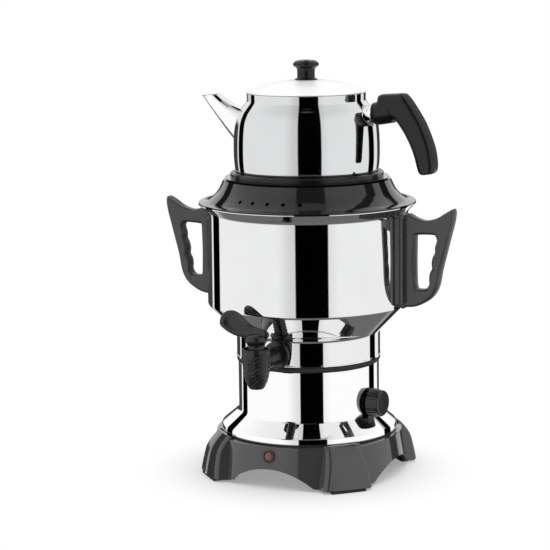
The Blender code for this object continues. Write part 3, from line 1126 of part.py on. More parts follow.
def make_tank_handle(name, azimuth_deg, envelope):
    """Side handle: looped grip with a wavy inner edge on a curved plate, and its two screws."""
    start = (TANK_RADIUS, HANDLE_Z)
    end = (TANK_RADIUS + HANDLE_REACH, HANDLE_Z + HANDLE_HEIGHT)
    loops = [stretch(start, end, HANDLE_OUTLINE_SHARES), stretch(start, end, HANDLE_HOLE_SHARES)]
    handle = flat_piece(name, loops, HANDLE_THICKNESS, HANDLE_ROUNDING, "satin_black")
    low, high = (HANDLE_Z + HANDLE_HEIGHT * share for share in HANDLE_PLATE_SHARES)
    depth = HANDLE_PLATE_DEPTH + OVERRUN
    plate = box("handle_plate", (depth, HANDLE_PLATE_WIDTH, high - low),
                (TANK_RADIUS - OVERRUN + depth / 2, 0.0, (low + high) / 2))
    bevel(plate, HANDLE_PLATE_EDGE)
    join(handle, plate)
    cut(handle, envelope)
    for height in handle_screw_heights():
        cut(handle, rod("handle_screw_hole", (TANK_RADIUS - OVERRUN, 0.0, height),
                        (TANK_RADIUS + HANDLE_SCREW_DEPTH, 0.0, height), SCREW_RADIUS + CLEAR,
                        steps=SCREW_STEPS))
    bake(handle)
    turn = math.radians(azimuth_deg - 90.0)
    handle.rotation_euler = (0.0, 0.0, turn)
    seat = TANK_RADIUS - TANK_WALL - 2 * CLEAR
    length = TANK_RADIUS + HANDLE_SCREW_DEPTH - CLEAR - seat
    for index, height in enumerate(handle_screw_heights(), start=1):
        screw = pan_screw("%s_screw_%d" % (name, index), length)
        screw.location = around(seat, azimuth_deg, height)
        screw.rotation_euler = (math.radians(90.0), 0.0, math.radians(azimuth_deg))


def bell_point(share):
    """Point of the hood's outer bell at a share of the way from its foot to its top, in height."""
    foot = (HOOD_BELL_FOOT_RADIUS, HOOD_Z + HOOD_BELL_FOOT_RISE)
    top = (HOOD_TOP_RADIUS, HOOD_TOP_Z)
    line = stretch(top, foot, HOOD_BELL_SHARES)
    height = top[1] + (foot[1] - top[1]) * share
    for (radius_a, height_a), (radius_b, height_b) in zip(line, line[1:]):
        if height_b <= height <= height_a:
            part = (height_a - height) / (height_a - height_b)
            return radius_a + (radius_b - radius_a) * part, height
    return line[-1]


def make_hood():
    """Bell-shaped hood: lip, concave bell with vents, flange on the tank's rim and a skirt inside it."""
    top = (HOOD_TOP_RADIUS, HOOD_TOP_Z)
    foot = (HOOD_BELL_FOOT_RADIUS, HOOD_Z + HOOD_BELL_FOOT_RISE)
    edge = TANK_RADIUS + RIM_OUTREACH
    flange_top = HOOD_Z + HOOD_FLANGE_THICKNESS
    skirt = TANK_RADIUS - TANK_WALL - HOOD_SKIRT_PLAY
    skirt_end = HOOD_Z - HOOD_SKIRT_DEPTH
    under_deck = HOOD_DECK_Z - HOOD_WALL
    inner_top = (HOOD_TOP_RADIUS - HOOD_WALL, under_deck)
    inner_foot = (skirt - HOOD_SKIRT_WALL, HOOD_Z)
    lip_inner = HOOD_TOP_RADIUS - HOOD_LIP_WIDTH
    outer = stretch(top, foot, HOOD_BELL_SHARES) + [(edge, flange_top), (edge, HOOD_Z), (skirt, HOOD_Z),
                                                   (skirt, skirt_end), (inner_foot[0], skirt_end)]
    inner = stretch(inner_foot, inner_top, [(1 - across, 1 - up) for across, up in HOOD_BELL_SHARES[::-1]])
    deck = [(HOOD_OPENING_RADIUS, under_deck), (HOOD_OPENING_RADIUS, HOOD_DECK_Z), (lip_inner, HOOD_DECK_Z),
            (lip_inner, HOOD_TOP_Z)]
    hood = turned("hood", outer + inner + deck, "gloss_black", ring=True)
    tilt = math.radians(VENT_TILT_DEG)
    radius, height = bell_point(VENT_SHARE)
    reach = 2 * HOOD_WALL + OVERRUN
    for index in range(VENT_COUNT):
        azimuth = VENT_STEP_DEG * (index - (VENT_COUNT - 1) / 2)
        start = around(radius - reach * math.cos(tilt), azimuth, height - reach * math.sin(tilt))
        end = around(radius + reach * math.cos(tilt), azimuth, height + reach * math.sin(tilt))
        cut(hood, rod("vent_cutter", start, end, VENT_RADIUS, steps=SCREW_STEPS))
    bake(hood)


def make_pot_ring():
    """Ring on the hood's deck that the teapot's foot drops into."""
    top = POT_RING_Z + POT_RING_HEIGHT
    ledge = POT_RING_Z + POT_RING_LEDGE_HEIGHT
    turned("pot_ring", [(POT_RING_RADIUS - POT_RING_EDGE, top), (POT_RING_RADIUS, top - POT_RING_EDGE),
                        (POT_RING_RADIUS, POT_RING_Z), (POT_RING_INNER_RADIUS, POT_RING_Z),
                        (POT_RING_INNER_RADIUS, ledge), (POT_RING_BORE_RADIUS, ledge),
                        (POT_RING_BORE_RADIUS, top)], "satin_black", ring=True)


def pot_outline(grow=0.0):
    """Teapot's outer outline from its rim to its floor's edge, grown outwards by a clearance."""
    belly = (POT_BELLY_RADIUS, POT_Z + POT_BELLY_HEIGHT)
    neck = (POT_RIM_RADIUS, POT_TOP_Z - POT_COLLAR)
    floor = (POT_BASE_RADIUS, POT_Z)
    line = [(POT_RIM_RADIUS, POT_TOP_Z)] + stretch(belly, neck, POT_SHOULDER_SHARES)
    line += stretch(belly, floor, POT_FOOT_SHARES)
    return [(radius + grow, height) for radius, height in line]


def pot_envelope():
    """Solid of the teapot's outer form with a clearance, to fit spout and ferrule against it."""
    line = pot_outline(CLEAR)
    return turned("pot_envelope", [(0.0, POT_TOP_Z)] + line + [(0.0, POT_Z)])


def make_teapot():
    """Teapot shell with a straight collar, round shoulder and a strainer of holes behind the spout."""
    pot = turned("teapot_body", pot_outline() + [(0.0, POT_Z)], "polished_steel", wall=POT_WALL)
    height = POT_Z + POT_HEIGHT * STRAINER_SHARE
    places = [(0.0, height)]
    for index in range(STRAINER_COUNT):
        angle = 2 * math.pi * index / STRAINER_COUNT
        places.append((STRAINER_PITCH * math.cos(angle), height + STRAINER_PITCH * math.sin(angle)))
    for across, up in places:
        cut(pot, rod("strainer_hole", (-POT_RIM_RADIUS, across, up), (-POT_BELLY_RADIUS - OVERRUN, across, up),
                     STRAINER_HOLE_RADIUS, steps=SCREW_STEPS))
    return bake(pot)


def make_spout(envelope):
    """Wide tapering spout on the teapot's -X side, cut level at its mouth and bored through."""
    start = (-SPOUT_START_RADIUS, POT_Z + POT_HEIGHT * SPOUT_START_SHARE)
    end = (-SPOUT_START_RADIUS - SPOUT_REACH, start[1] + SPOUT_RISE)
    line = [(across, 0.0, up) for across, up in stretch(start, end, SPOUT_LINE_SHARES)]
    spout = tube("teapot_spout", line, SPOUT_ROOT_RADIUS, "polished_steel", resolution=6,
                 shares=SPOUT_RADIUS_SHARES)
    bore_shares = [share - SPOUT_WALL / SPOUT_ROOT_RADIUS for share in SPOUT_RADIUS_SHARES]
    bore_line = [tuple(Vector(line[0]) - (Vector(line[1]) - Vector(line[0])) / 2)] + line[1:-1]
    bore_line.append(tuple(Vector(line[-1]) + (Vector(line[-1]) - Vector(line[-2]))))
    bore = tube("spout_bore", bore_line, SPOUT_ROOT_RADIUS, resolution=6, shares=bore_shares)
    mouth = POT_Z + POT_HEIGHT * SPOUT_MOUTH_SHARE
    size = 2 * SPOUT_REACH
    lid = box("spout_mouth", (size, size, size), (0.0, 0.0, size / 2))
    lid.location = (end[0], 0.0, mouth)
    lid.rotation_euler = (0.0, math.radians(-SPOUT_MOUTH_TILT_DEG), 0.0)
    return bake(cut(spout, bore, envelope, lid))


def make_teapot_handle(envelope):
    """Steel ferrule on the teapot's +X side, the stud in it and the hooked, fluted handle."""
    ferrule_end = GRIP_START_RADIUS - CLEAR
    ferrule = rod("handle_ferrule", (FERRULE_INNER_RADIUS, 0.0, FERRULE_Z), (ferrule_end, 0.0, FERRULE_Z),
                  FERRULE_RADIUS, "polished_steel", steps=SMALL_STEPS)
    stud_start = POT_BELLY_RADIUS - POT_WALL
    stud_hole = GRIP_STUD_RADIUS + CLEAR
    stud_end = GRIP_START_RADIUS + GRIP_STUD_DEPTH
    hole = rod("stud_hole", (stud_start - CLEAR, 0.0, FERRULE_Z), (stud_end + CLEAR, 0.0, FERRULE_Z),
               stud_hole, steps=SCREW_STEPS)
    bake(cut(ferrule, envelope, hole))
    rod("handle_stud", (stud_start, 0.0, FERRULE_Z), (stud_end, 0.0, FERRULE_Z), GRIP_STUD_RADIUS,
        "plain_steel", steps=SCREW_STEPS)
    start = (GRIP_START_RADIUS, GRIP_Z)
    end = (GRIP_START_RADIUS + GRIP_REACH, GRIP_Z + GRIP_HEIGHT)
    grip = flat_piece("teapot_handle", [stretch(start, end, GRIP_OUTLINE_SHARES)], GRIP_THICKNESS,
                      GRIP_ROUNDING, "satin_black", resolution=2)
    cut(grip, hole)
    line = stretch(start, end, FLUTE_LINE_SHARES)
    for index in range(FLUTE_COUNT):
        side = FLUTE_PITCH * (index - (FLUTE_COUNT - 1) / 2)
        points = [(across, side, up) for across, up in line]
        cut(grip, tube("flute", points, FLUTE_RADIUS, resolution=0))
    bake(grip)


def make_lid():
    """Domed lid with a locating skirt, and the knob, washer and screw at its centre."""
    flat = (LID_FLAT_RADIUS, LID_TOP_Z)
    edge = (LID_RADIUS, LID_Z + LID_EDGE)
    skirt = POT_RIM_RADIUS - POT_WALL - LID_SKIRT_PLAY
    inner_edge = (skirt - LID_WALL, LID_Z)
    inner_flat = (LID_FLAT_RADIUS, LID_TOP_Z - LID_WALL)
    outer = [(LID_HOLE_RADIUS, LID_TOP_Z), flat] + stretch(flat, edge, LID_DOME_SHARES)
    outer += [edge, (LID_RADIUS, LID_Z), (skirt, LID_Z), (skirt, LID_Z - LID_SKIRT_DEPTH),
              (inner_edge[0], LID_Z - LID_SKIRT_DEPTH)]
    inner = [inner_edge] + stretch(inner_flat, inner_edge, LID_DOME_SHARES)[::-1]
    inner += [inner_flat, (LID_HOLE_RADIUS, LID_TOP_Z - LID_WALL)]
    turned("teapot_lid", outer + inner, "polished_steel", ring=True)
    base = LID_TOP_Z + CLEAR
    top = base + LID_KNOB_HEIGHT
    cap = [(LID_KNOB_RADIUS * across, base + LID_KNOB_HEIGHT * up) for across, up, _ in KNOB_PROFILE_SHARES]
    waist = base + LID_KNOB_HEIGHT * 0.33
    foot = base + LID_KNOB_HEIGHT * 0.08
    turned("lid_knob", [(0.0, top)] + cap + [(LID_KNOB_NECK_RADIUS, waist), (LID_KNOB_FOOT_RADIUS, foot),
                                            (LID_KNOB_FOOT_RADIUS, base), (LID_HOLE_RADIUS, base),
                                            (LID_HOLE_RADIUS, base + LID_KNOB_BORE_DEPTH),
                                            (0.0, base + LID_KNOB_BORE_DEPTH)], "satin_black",
           steps=SMALL_STEPS)
    under = LID_TOP_Z - LID_WALL - CLEAR
    turned("knob_washer", [(LID_WASHER_RADIUS, under), (LID_WASHER_RADIUS, under - LID_WASHER_THICKNESS),
                           (LID_HOLE_RADIUS, under - LID_WASHER_THICKNESS), (LID_HOLE_RADIUS, under)],
           "rubber", steps=SMALL_STEPS, ring=True)
    seat = under - LID_WASHER_THICKNESS - CLEAR
    screw = pan_screw("knob_screw", base + LID_KNOB_BORE_DEPTH - CLEAR - seat)
    screw.location = (0.0, 0.0, seat)


def set_back():
    """Move everything back so that the origin is midway between the tap's front and the tank's back."""
    for item in list(PARTS.objects) + list(CUTTERS.objects):
        if item.parent is None:
            item.location.y += AXIS_SETBACK


def build():
    """Build the samovar from the floor up."""
    make_base()
    make_pads()
    make_bottom_plate()
    make_pilot_lamp()
    make_cord_gland()
    make_sleeve()
    make_seat_ring()
    make_tank()
    make_heater()
    make_thermostat()
    envelope = tank_envelope()
    make_tap_body()
    make_tap_fixing(envelope)
    axis = add_axis("tap_axis", (0.0, -TAP_REACH, 0.0))
    make_key(axis, make_plug(axis))
    make_tank_handle("tank_handle_right", 90.0, envelope)
    make_tank_handle("tank_handle_left", -90.0, envelope)
    make_hood()
    make_pot_ring()
    make_teapot()
    pot_form = pot_envelope()
    make_spout(pot_form)
    make_teapot_handle(pot_form)
    make_lid()
    set_back()
    bpy.context.view_layer.update()


build()
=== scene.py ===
"""Electric tea samovar, dressed over its CAD frame: polished steel, gloss black and satin black mouldings."""
import math

import bmesh
import bpy
import numpy as np
from mathutils import Matrix, Vector


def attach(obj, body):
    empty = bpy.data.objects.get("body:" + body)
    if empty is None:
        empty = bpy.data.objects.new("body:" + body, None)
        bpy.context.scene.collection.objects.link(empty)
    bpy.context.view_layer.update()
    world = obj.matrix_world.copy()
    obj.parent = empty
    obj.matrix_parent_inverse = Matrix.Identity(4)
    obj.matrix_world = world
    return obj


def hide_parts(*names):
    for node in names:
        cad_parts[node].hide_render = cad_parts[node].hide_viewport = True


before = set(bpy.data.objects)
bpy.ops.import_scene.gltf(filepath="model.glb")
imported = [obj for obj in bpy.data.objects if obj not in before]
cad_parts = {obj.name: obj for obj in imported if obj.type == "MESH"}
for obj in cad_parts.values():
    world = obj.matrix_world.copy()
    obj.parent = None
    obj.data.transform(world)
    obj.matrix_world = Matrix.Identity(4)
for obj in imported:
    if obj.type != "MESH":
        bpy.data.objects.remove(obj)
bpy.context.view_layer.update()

MM = 0.001
AXIS_Y = 12.8 * MM            # the samovar's upright axis stands this far behind the origin
TAP_Y = -120.0 * MM           # the tap barrel's axis, forward of the samovar's own
ROUND = 144                   # points round the tank, hood and teapot
SMALL_ROUND = 64              # points round the tap and knobs


# Shapes worked out as whole arrays

def points(rows):
    """Millimetre pairs as an array in metres."""
    return np.array(rows, float) * MM


def fillet(corners, steps=7):
    """Round a line's corners: each (across, up, radius) becomes an arc that touches both its sides."""
    out = []
    for k, (a, b, radius) in enumerate(corners):
        here = np.array((a, b), float)
        if radius <= 0.0:
            out.append(here[None])
            continue
        back = np.array(corners[k - 1][:2], float) - here
        ahead = np.array(corners[(k + 1) % len(corners)][:2], float) - here
        back /= np.linalg.norm(back)
        ahead /= np.linalg.norm(ahead)
        half = math.acos(float(np.clip(back @ ahead, -1.0, 1.0))) / 2
        middle = (back + ahead) / np.linalg.norm(back + ahead)
        centre = here + middle * radius / math.sin(half)
        start = here + back * radius / math.tan(half) - centre
        end = here + ahead * radius / math.tan(half) - centre
        turn = math.pi - 2 * half
        share = np.linspace(0.0, 1.0, steps)[:, None]
        arc = start * np.sin((1 - share) * turn) + end * np.sin(share * turn)
        out.append(centre + arc / math.sin(turn))
    return np.concatenate(out) * MM


def flow(knots, count, closed=False):
    """Smooth line through knots: a Catmull-Rom cubic between each pair, sampled evenly by knot."""
    knots = np.asarray(knots, float)
    n = len(knots)
    spans = n if closed else n - 1
    t = np.linspace(0.0, spans, count, endpoint=not closed)
    k = np.minimum(t.astype(int), spans - 1)
    f = (t - k)[:, None]
    pick = (lambda j: knots[j % n]) if closed else (lambda j: knots[np.clip(j, 0, n - 1)])
    p0, p1, p2, p3 = pick(k - 1), pick(k), pick(k + 1), pick(k + 2)
    return 0.5 * (2 * p1 + (p2 - p0) * f + (2 * p0 - 5 * p1 + 4 * p2 - p3) * f ** 2
                  + (3 * p1 - p0 - 3 * p2 + p3) * f ** 3)


def skin(grid, wrap_rows=False):
    """Vertices and four-sided faces of a grid of points, joined round where it wraps."""
    rows, columns = grid.shape[:2]
    i = np.arange(rows if wrap_rows else rows - 1)[:, None]
    j = np.arange(columns)[None, :]
    i1, j1 = (i + 1) % rows, (j + 1) % columns
    quads = np.stack([i * columns + j, i * columns + j1, i1 * columns + j1, i1 * columns + j], axis=-1)
    return grid.reshape(-1, 3), quads.reshape(-1, 4).tolist()


def join_skins(*skins):
    """One list of vertices and faces from several."""
    places, faces, start = [], [], 0
    for verts, polygons in skins:
        places.append(verts)
        faces += [[start + v for v in polygon] for polygon in polygons]
        start += len(verts)
    return np.concatenate(places), faces


def piece(name, skins, material, body, nodes=(), sharp_deg=38.0):
    """Mesh piece with merged seams, outward normals and crisp corners, riding on a body."""
    verts, faces = join_skins(*skins)
    verts = verts + np.array((0.0, AXIS_Y, 0.0))
    mesh = bpy.data.meshes.new(name)
    mesh.from_pydata(verts.tolist(), [], faces)
    work = bmesh.new()
    work.from_mesh(mesh)
    bmesh.ops.remove_doubles(work, verts=work.verts, dist=1e-6)
    bmesh.ops.dissolve_degenerate(work, edges=work.edges, dist=1e-7)
    bmesh.ops.recalc_face_normals(work, faces=work.faces)
    work.to_mesh(mesh)
    work.free()
    mesh.shade_smooth()
    mesh.set_sharp_from_angle(angle=math.radians(sharp_deg))
    mesh.materials.append(material)
    item = bpy.data.objects.new(name, mesh)
    bpy.context.scene.collection.objects.link(item)
    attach(item, body)
    if nodes:
        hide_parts(*nodes)
    return item


def turn_profile(profile, count=ROUND, closed=True):
    """Profile of (radius, height) turned about the upright axis: (r sin a, -r cos a, z) at each angle a."""
    angle = np.linspace(0.0, 2 * math.pi, count, endpoint=False)
    r, z = profile[:, :1], profile[:, 1:]
    grid = np.stack([r * np.sin(angle), -r * np.cos(angle), z + 0 * angle], axis=-1)
    return skin(grid, wrap_rows=closed)


def shift(grid_skin, offset):
    """The same skin moved by an offset."""
    verts, faces = grid_skin
    return verts + np.asarray(offset, float), faces


def lean(grid_skin, matrix):
    """The same skin turned and moved by a 4 by 4 matrix."""
    verts, faces = grid_skin
    m = np.array(matrix)
    return verts @ m[:3, :3].T + m[:3, 3], faces


def inset(loop, depth):
    """Closed loop of points moved inwards by a depth, along the mean normal of its neighbours."""
    ahead = np.roll(loop, -1, axis=0) - loop
    normal = np.stack([-ahead[:, 1], ahead[:, 0]], axis=1)
    normal /= np.linalg.norm(normal, axis=1, keepdims=True) + 1e-12
    mean = normal + np.roll(normal, 1, axis=0)
    mean /= np.linalg.norm(mean, axis=1, keepdims=True) + 1e-12
    area = 0.5 * np.sum(loop[:, 0] * np.roll(loop[:, 1], -1) - np.roll(loop[:, 0], -1) * loop[:, 1])
    return loop + mean * depth * math.copysign(1.0, area)


def ring_slab(outer, inner, half, rounding, bands=5, steps=7):
    """Plate with one hole, its points matched hole to outline: quarter circles round both edges.

    Along the line from a hole's point to its partner on the outline, the depth in from either edge is the
    rounding times one less the sine, while the level rises by one less the cosine.
    """
    across = outer - inner
    width = np.linalg.norm(across, axis=1, keepdims=True)
    q = np.linspace(0.0, math.pi / 2, steps)
    depth = np.concatenate([rounding * (1 - np.sin(q)), (rounding * (1 - np.sin(q)))[::-1]])
    level = np.concatenate([-half + rounding * (1 - np.cos(q)), (half - rounding * (1 - np.cos(q)))[::-1]])
    inward = across / width
    out_rows = outer[None] - inward[None] * depth[:, None, None]
    in_rows = inner[None] + inward[None] * depth[::-1, None, None]
    share = np.linspace(0.0, 1.0, bands + 2)[1:-1, None, None]
    back = out_rows[-1] + (in_rows[0] - out_rows[-1]) * share
    front = in_rows[-1] + (out_rows[0] - in_rows[-1]) * share
    plan = np.concatenate([out_rows, back, in_rows, front])
    levels = np.concatenate([level, np.full(bands, half), level[::-1], np.full(bands, -half)])
    grid = np.stack([plan[..., 0], levels[:, None] + 0 * plan[..., 0], plan[..., 1]], axis=-1)
    return skin(grid, wrap_rows=True)


def by_angle(loop, centre, angles):
    """Distance of a loop from a centre at given angles, read off its own points in angle order."""
    d = loop - centre
    a = np.mod(np.arctan2(d[:, 1], d[:, 0]), 2 * math.pi)
    order = np.argsort(a)
    r = np.linalg.norm(d, axis=1)[order]
    a = a[order]
    reach = np.interp(angles, np.concatenate([a - 2 * math.pi, a, a + 2 * math.pi]), np.tile(r, 3))
    return centre + np.stack([np.cos(angles), np.sin(angles)], axis=1) * reach[:, None]


def dense(loop, step=0.0006):
    """Closed line resampled every step along its straight sides."""
    loop = np.asarray(loop, float)
    ahead = np.roll(loop, -1, axis=0)
    counts = np.maximum(1, np.ceil(np.linalg.norm(ahead - loop, axis=1) / step)).astype(int)
    return np.concatenate([a + (b - a) * (np.arange(n) / n)[:, None] for a, b, n in zip(loop, ahead, counts)])


def even(loop, count):
    """Closed line resampled to a number of points at even spacing."""
    closed = np.concatenate([loop, loop[:1]])
    length = np.concatenate([[0.0], np.cumsum(np.linalg.norm(np.diff(closed, axis=0), axis=1))])
    t = np.linspace(0.0, length[-1], count, endpoint=False)
    return np.stack([np.interp(t, length, closed[:, 0]), np.interp(t, length, closed[:, 1])], axis=1)


# Materials

class Wire:
    """A shader socket that does sums: each operator adds one Math node."""

    def __init__(self, mix, socket):
        self.mix = mix
        self.socket = socket

    def _sum(self, kind, a, b):
        return self.mix.node("ShaderNodeMath", {"operation": kind}, [a, b])

    def __add__(self, other):
        return self._sum("ADD", self, other)

    def __radd__(self, other):
        return self._sum("ADD", other, self)

    def __sub__(self, other):
        return self._sum("SUBTRACT", self, other)

    def __rsub__(self, other):
        return self._sum("SUBTRACT", other, self)

    def __mul__(self, other):
        return self._sum("MULTIPLY", self, other)

    def __rmul__(self, other):
        return self._sum("MULTIPLY", other, self)


class Finish:
    """A node tree in the making: one method adds any node and wires or sets its inputs."""

    def __init__(self, tree):
        self.tree = tree

    def node(self, kind, settings=None, inputs=(), out=0):
        """Add a node, set its settings, then its inputs by place or by name, and give one output."""
        item = self.tree.nodes.new(kind)
        for key, value in (settings or {}).items():
            setattr(item, key, value)
        pairs = inputs.items() if isinstance(inputs, dict) else enumerate(inputs)
        for key, value in pairs:
            self.put(item.inputs[key], value)
        return Wire(self, item.outputs[out])

    def put(self, socket, value):
        """Wire or set one input."""
        if isinstance(value, Wire):
            self.tree.links.new(value.socket, socket)
        elif value is not None:
            if hasattr(socket.default_value, "__len__") and not hasattr(value, "__len__"):
                value = (value, value, value, 1.0)[:len(socket.default_value)]
            socket.default_value = value


def finish(name, colour, roughness, metallic=0.0, grain=None, patches=0.1, tint=0.06, bump=0.0,
           coat=0.0, shine=0.5):
    """Material whose colour and roughness drift with two noises and whose grain is pressed in by a bump.

    The grain is a noise on Object coordinates, stretched by its scale on each axis; patches is the share by
    which the slow noise changes the roughness, and tint the share by which it changes the colour.
    """
    material = bpy.data.materials.new(name)
    material.use_nodes = True
    mix = Finish(material.node_tree)
    shader = material.node_tree.nodes["Principled BSDF"]
    place = mix.node("ShaderNodeTexCoord", out="Object")
    slow = mix.node("ShaderNodeTexNoise", {}, {"Vector": place, "Scale": 22.0, "Detail": 4.0})
    fine_place = mix.node("ShaderNodeMapping", {}, {"Vector": place, "Scale": grain or (1.0, 1.0, 1.0)})
    fine = mix.node("ShaderNodeTexNoise", {}, {"Vector": fine_place, "Scale": 600.0 if grain is None else 1.0,
                                               "Detail": 3.0})
    mix.put(shader.inputs["Roughness"], roughness * (1.0 - patches) + slow * (2.0 * patches * roughness)
            + (fine - 0.5) * (roughness * 0.25))
    darker = tuple(c * (1.0 - tint) for c in colour)
    shade = mix.node("ShaderNodeMix", {"data_type": "RGBA"}, {"Factor": slow}, out=2)
    blend = shade.socket.node
    blend.inputs[6].default_value = (*colour, 1.0)
    blend.inputs[7].default_value = (*darker, 1.0)
    mix.put(shader.inputs["Base Color"], shade)
    shader.inputs["Metallic"].default_value = metallic
    shader.inputs["Specular IOR Level"].default_value = shine
    shader.inputs["Coat Weight"].default_value = coat
    shader.inputs["Coat Roughness"].default_value = 0.04
    if bump:
        mix.put(shader.inputs["Normal"], mix.node("ShaderNodeBump", {}, {"Strength": bump, "Distance": 0.0002,
                                                                         "Height": fine}))
    return material


MIRROR = finish("mirror_steel", (0.985, 0.985, 0.985), 0.03, 1.0, grain=(60, 60, 900), patches=0.25,
                tint=0.02, bump=0.02)
TANK_STEEL = finish("tank_steel", (0.87, 0.873, 0.88), 0.03, 1.0, grain=(60, 60, 900), patches=0.25,
                    tint=0.10, bump=0.02)
POT_STEEL = finish("pot_steel", (0.75, 0.757, 0.762), 0.045, 1.0, grain=(60, 60, 900), patches=0.25,
                   tint=0.08, bump=0.02)
# The lid's steel is mostly matt white rather than mirror: a painted reflection standing in for the bright
# light its polished top mirrors.
LID_PAINTED_REFLECTION = finish("lid_steel_painted_reflection", (1.0, 1.0, 1.0), 0.34, 0.30, patches=0.15, tint=0.02, bump=0.03)
GLOSS = finish("gloss_black", (0.010, 0.010, 0.011), 0.07, patches=0.3, tint=0.15, bump=0.02, coat=0.1)
BASE_GLOSS = finish("base_black", (0.046, 0.046, 0.047), 0.08, patches=0.3, tint=0.16, bump=0.03, coat=0.45)
SATIN = finish("satin_black", (0.036, 0.036, 0.037), 0.26, patches=0.15, tint=0.2, bump=0.12, shine=0.6)
TAP_BLACK = finish("tap_black", (0.010, 0.010, 0.010), 0.20, patches=0.2, tint=0.2, bump=0.10)
DEEP = finish("deep_black", (0.008, 0.008, 0.008), 0.22, patches=0.2, tint=0.2, bump=0.10, shine=0.33)
RUBBER = finish("dark_rubber", (0.022, 0.022, 0.022), 0.7, patches=0.1, tint=0.2, bump=0.2)
ZINC = finish("zinc_steel", (0.55, 0.56, 0.57), 0.32, 1.0, patches=0.2, tint=0.1, bump=0.08)
CAST = finish("cast_aluminium", (0.66, 0.67, 0.68), 0.45, 1.0, patches=0.2, tint=0.1, bump=0.3)
BRASS = finish("turned_brass", (0.70, 0.52, 0.25), 0.28, 1.0, grain=(900, 900, 900), patches=0.2, tint=0.1,
               bump=0.05)
PALE = finish("pale_plastic", (0.76, 0.75, 0.72), 0.42, patches=0.1, tint=0.05, bump=0.08)
LENS = finish("red_lens", (0.19, 0.050, 0.048), 0.14, patches=0.2, tint=0.3, bump=0.03, coat=0.5)

NODE_FINISHES = {
    RUBBER: ("foot_pad_1", "foot_pad_2", "foot_pad_3", "foot_pad_4", "seat_ring", "tap_outer_washer",
             "tap_inner_washer", "tap_seal", "knob_washer"),
    ZINC: ("bottom_plate", "plate_screw_1", "plate_screw_2", "plate_screw_3", "plate_screw_4",
           "heating_element", "element_clamp", "tie_rod", "thermostat_nut", "key_pin", "handle_stud",
           "tank_handle_right_screw_1", "tank_handle_right_screw_2", "tank_handle_left_screw_1",
           "tank_handle_left_screw_2", "knob_screw"),
    CAST: ("heater_plate",),
    BRASS: ("clamp_nut", "tie_nut", "thermostat_shaft", "tap_nut"),
    PALE: ("pilot_lamp_holder", "thermal_cutout", "terminal_block", "thermostat_body"),
    SATIN: ("cord_gland", "tap_plug"),
}
for dressing, names in NODE_FINISHES.items():
    for node_name in names:
        for place_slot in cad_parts[node_name].material_slots:
            place_slot.material = dressing


# Base

def arch_height(across):
    """Height of the arch between two feet at a distance from its middle: a circle's rise, floored at zero."""
    radius = (47.0 ** 2 + 20.5 ** 2) / (2 * 20.5) * MM
    return np.maximum(np.sqrt(np.maximum(radius ** 2 - across ** 2, 0.0)) - radius + 20.5 * MM, 3.0 * MM)


def make_skirt():
    """Skirt: its wall's points run down the sloping outside to the arch's edge and back up the inside.

    At an angle, the arch's distance is r sin of the angle to the nearest arch's middle, and the wall's
    height is shared out between the rim and the arch's height there.
    """
    angle = np.linspace(0.0, 2 * math.pi, 2 * ROUND, endpoint=False)
    from_arch = np.mod(angle + math.pi / 4, math.pi / 2) - math.pi / 4
    low = arch_height(98.0 * MM * np.sin(np.abs(from_arch)))
    share = np.linspace(0.0, 1.0, 16)[:, None]
    top = 43.4 * MM
    z = top + (low - top) * share
    r = (92.6 + 7.2 * (44.2 - z / MM) / 41.7) * MM
    outer = np.stack([r * np.sin(angle), -r * np.cos(angle), z], axis=-1)
    inner_z = z[::-1]
    inner_r = r[::-1] - 2.6 * MM
    inner = np.stack([inner_r * np.sin(angle), -inner_r * np.cos(angle), inner_z], axis=-1)
    edge = fillet([(74, 40.6, 0), (74, 43.2, 0), (88.35, 43.2, 0), (88.35, 44.2, 0.3), (92.6, 44.2, 0.7)])
    deck = np.stack([edge[:, :1] * np.sin(angle), -edge[:, :1] * np.cos(angle), edge[:, 1:] + 0 * angle],
                    axis=-1)
    return skin(np.concatenate([deck, outer[1:], inner[:-1]]), wrap_rows=True)


FOOT_LINE = ((92.4, 43.7), (94.0, 42.6), (95.6, 41.2), (99.6, 36.8), (103.0, 31.9), (105.6, 26.5),
             (108.1, 15.6), (109.6, 7.0), (109.95, 4.2), (109.6, 2.8), (108.6, 2.5))


def make_foot(azimuth_deg):
    """Foot: at each height a closed outline, its front an arc of the toe's radius, its sides splayed.

    The half width grows evenly from the top to the bottom, the corners are quarter circles, and the sides
    run back to the skirt, 4 mm wider there.
    """
    line = flow(points(FOOT_LINE), 44)
    r, z = line[:, :1], line[:, 1:]
    width = (18.0 + 7.5 * (44.2 * MM - z) / (41.7 * MM)) * MM
    corner = 5.5 * MM
    front = np.linspace(-1.0, 1.0, 25)[None]
    x_front = (width - corner) * front
    y_front = -np.sqrt(r ** 2 - x_front ** 2)
    q = np.linspace(0.0, math.pi / 2, 12)[1:][None]
    y_edge = -np.sqrt(r ** 2 - (width - corner) ** 2)
    x_corner = width - corner + corner * np.sin(q)
    y_corner = y_edge + corner * (1 - np.cos(q))
    back = np.linspace(0.0, 1.0, 8)[1:][None]
    inner_y = -89.5 * MM
    start_y = y_edge + corner
    x_side = width + 4.0 * MM * back * np.clip((inner_y - start_y) / (17 * MM), 0.1, 1.0)
    y_side = start_y + (inner_y - start_y) * back
    right_x = np.concatenate([x_front, x_corner, x_side], axis=1)
    right_y = np.concatenate([y_front, y_corner, y_side], axis=1)
    left_x = -np.concatenate([x_side[:, ::-1], x_corner[:, ::-1]], axis=1)
    left_y = np.concatenate([y_side[:, ::-1], y_corner[:, ::-1]], axis=1)
    x = np.concatenate([left_x, right_x], axis=1)
    y = np.concatenate([left_y, right_y], axis=1)
    grid = np.stack([x, y, z + 0 * x], axis=-1)
    verts, faces = skin(grid)
    n = grid.shape[1]
    last = (grid.shape[0] - 1) * n
    faces += [list(range(n)), list(range(last + n - 1, last - 1, -1))]
    return lean((verts, faces), Matrix.Rotation(math.radians(azimuth_deg), 4, "Z"))


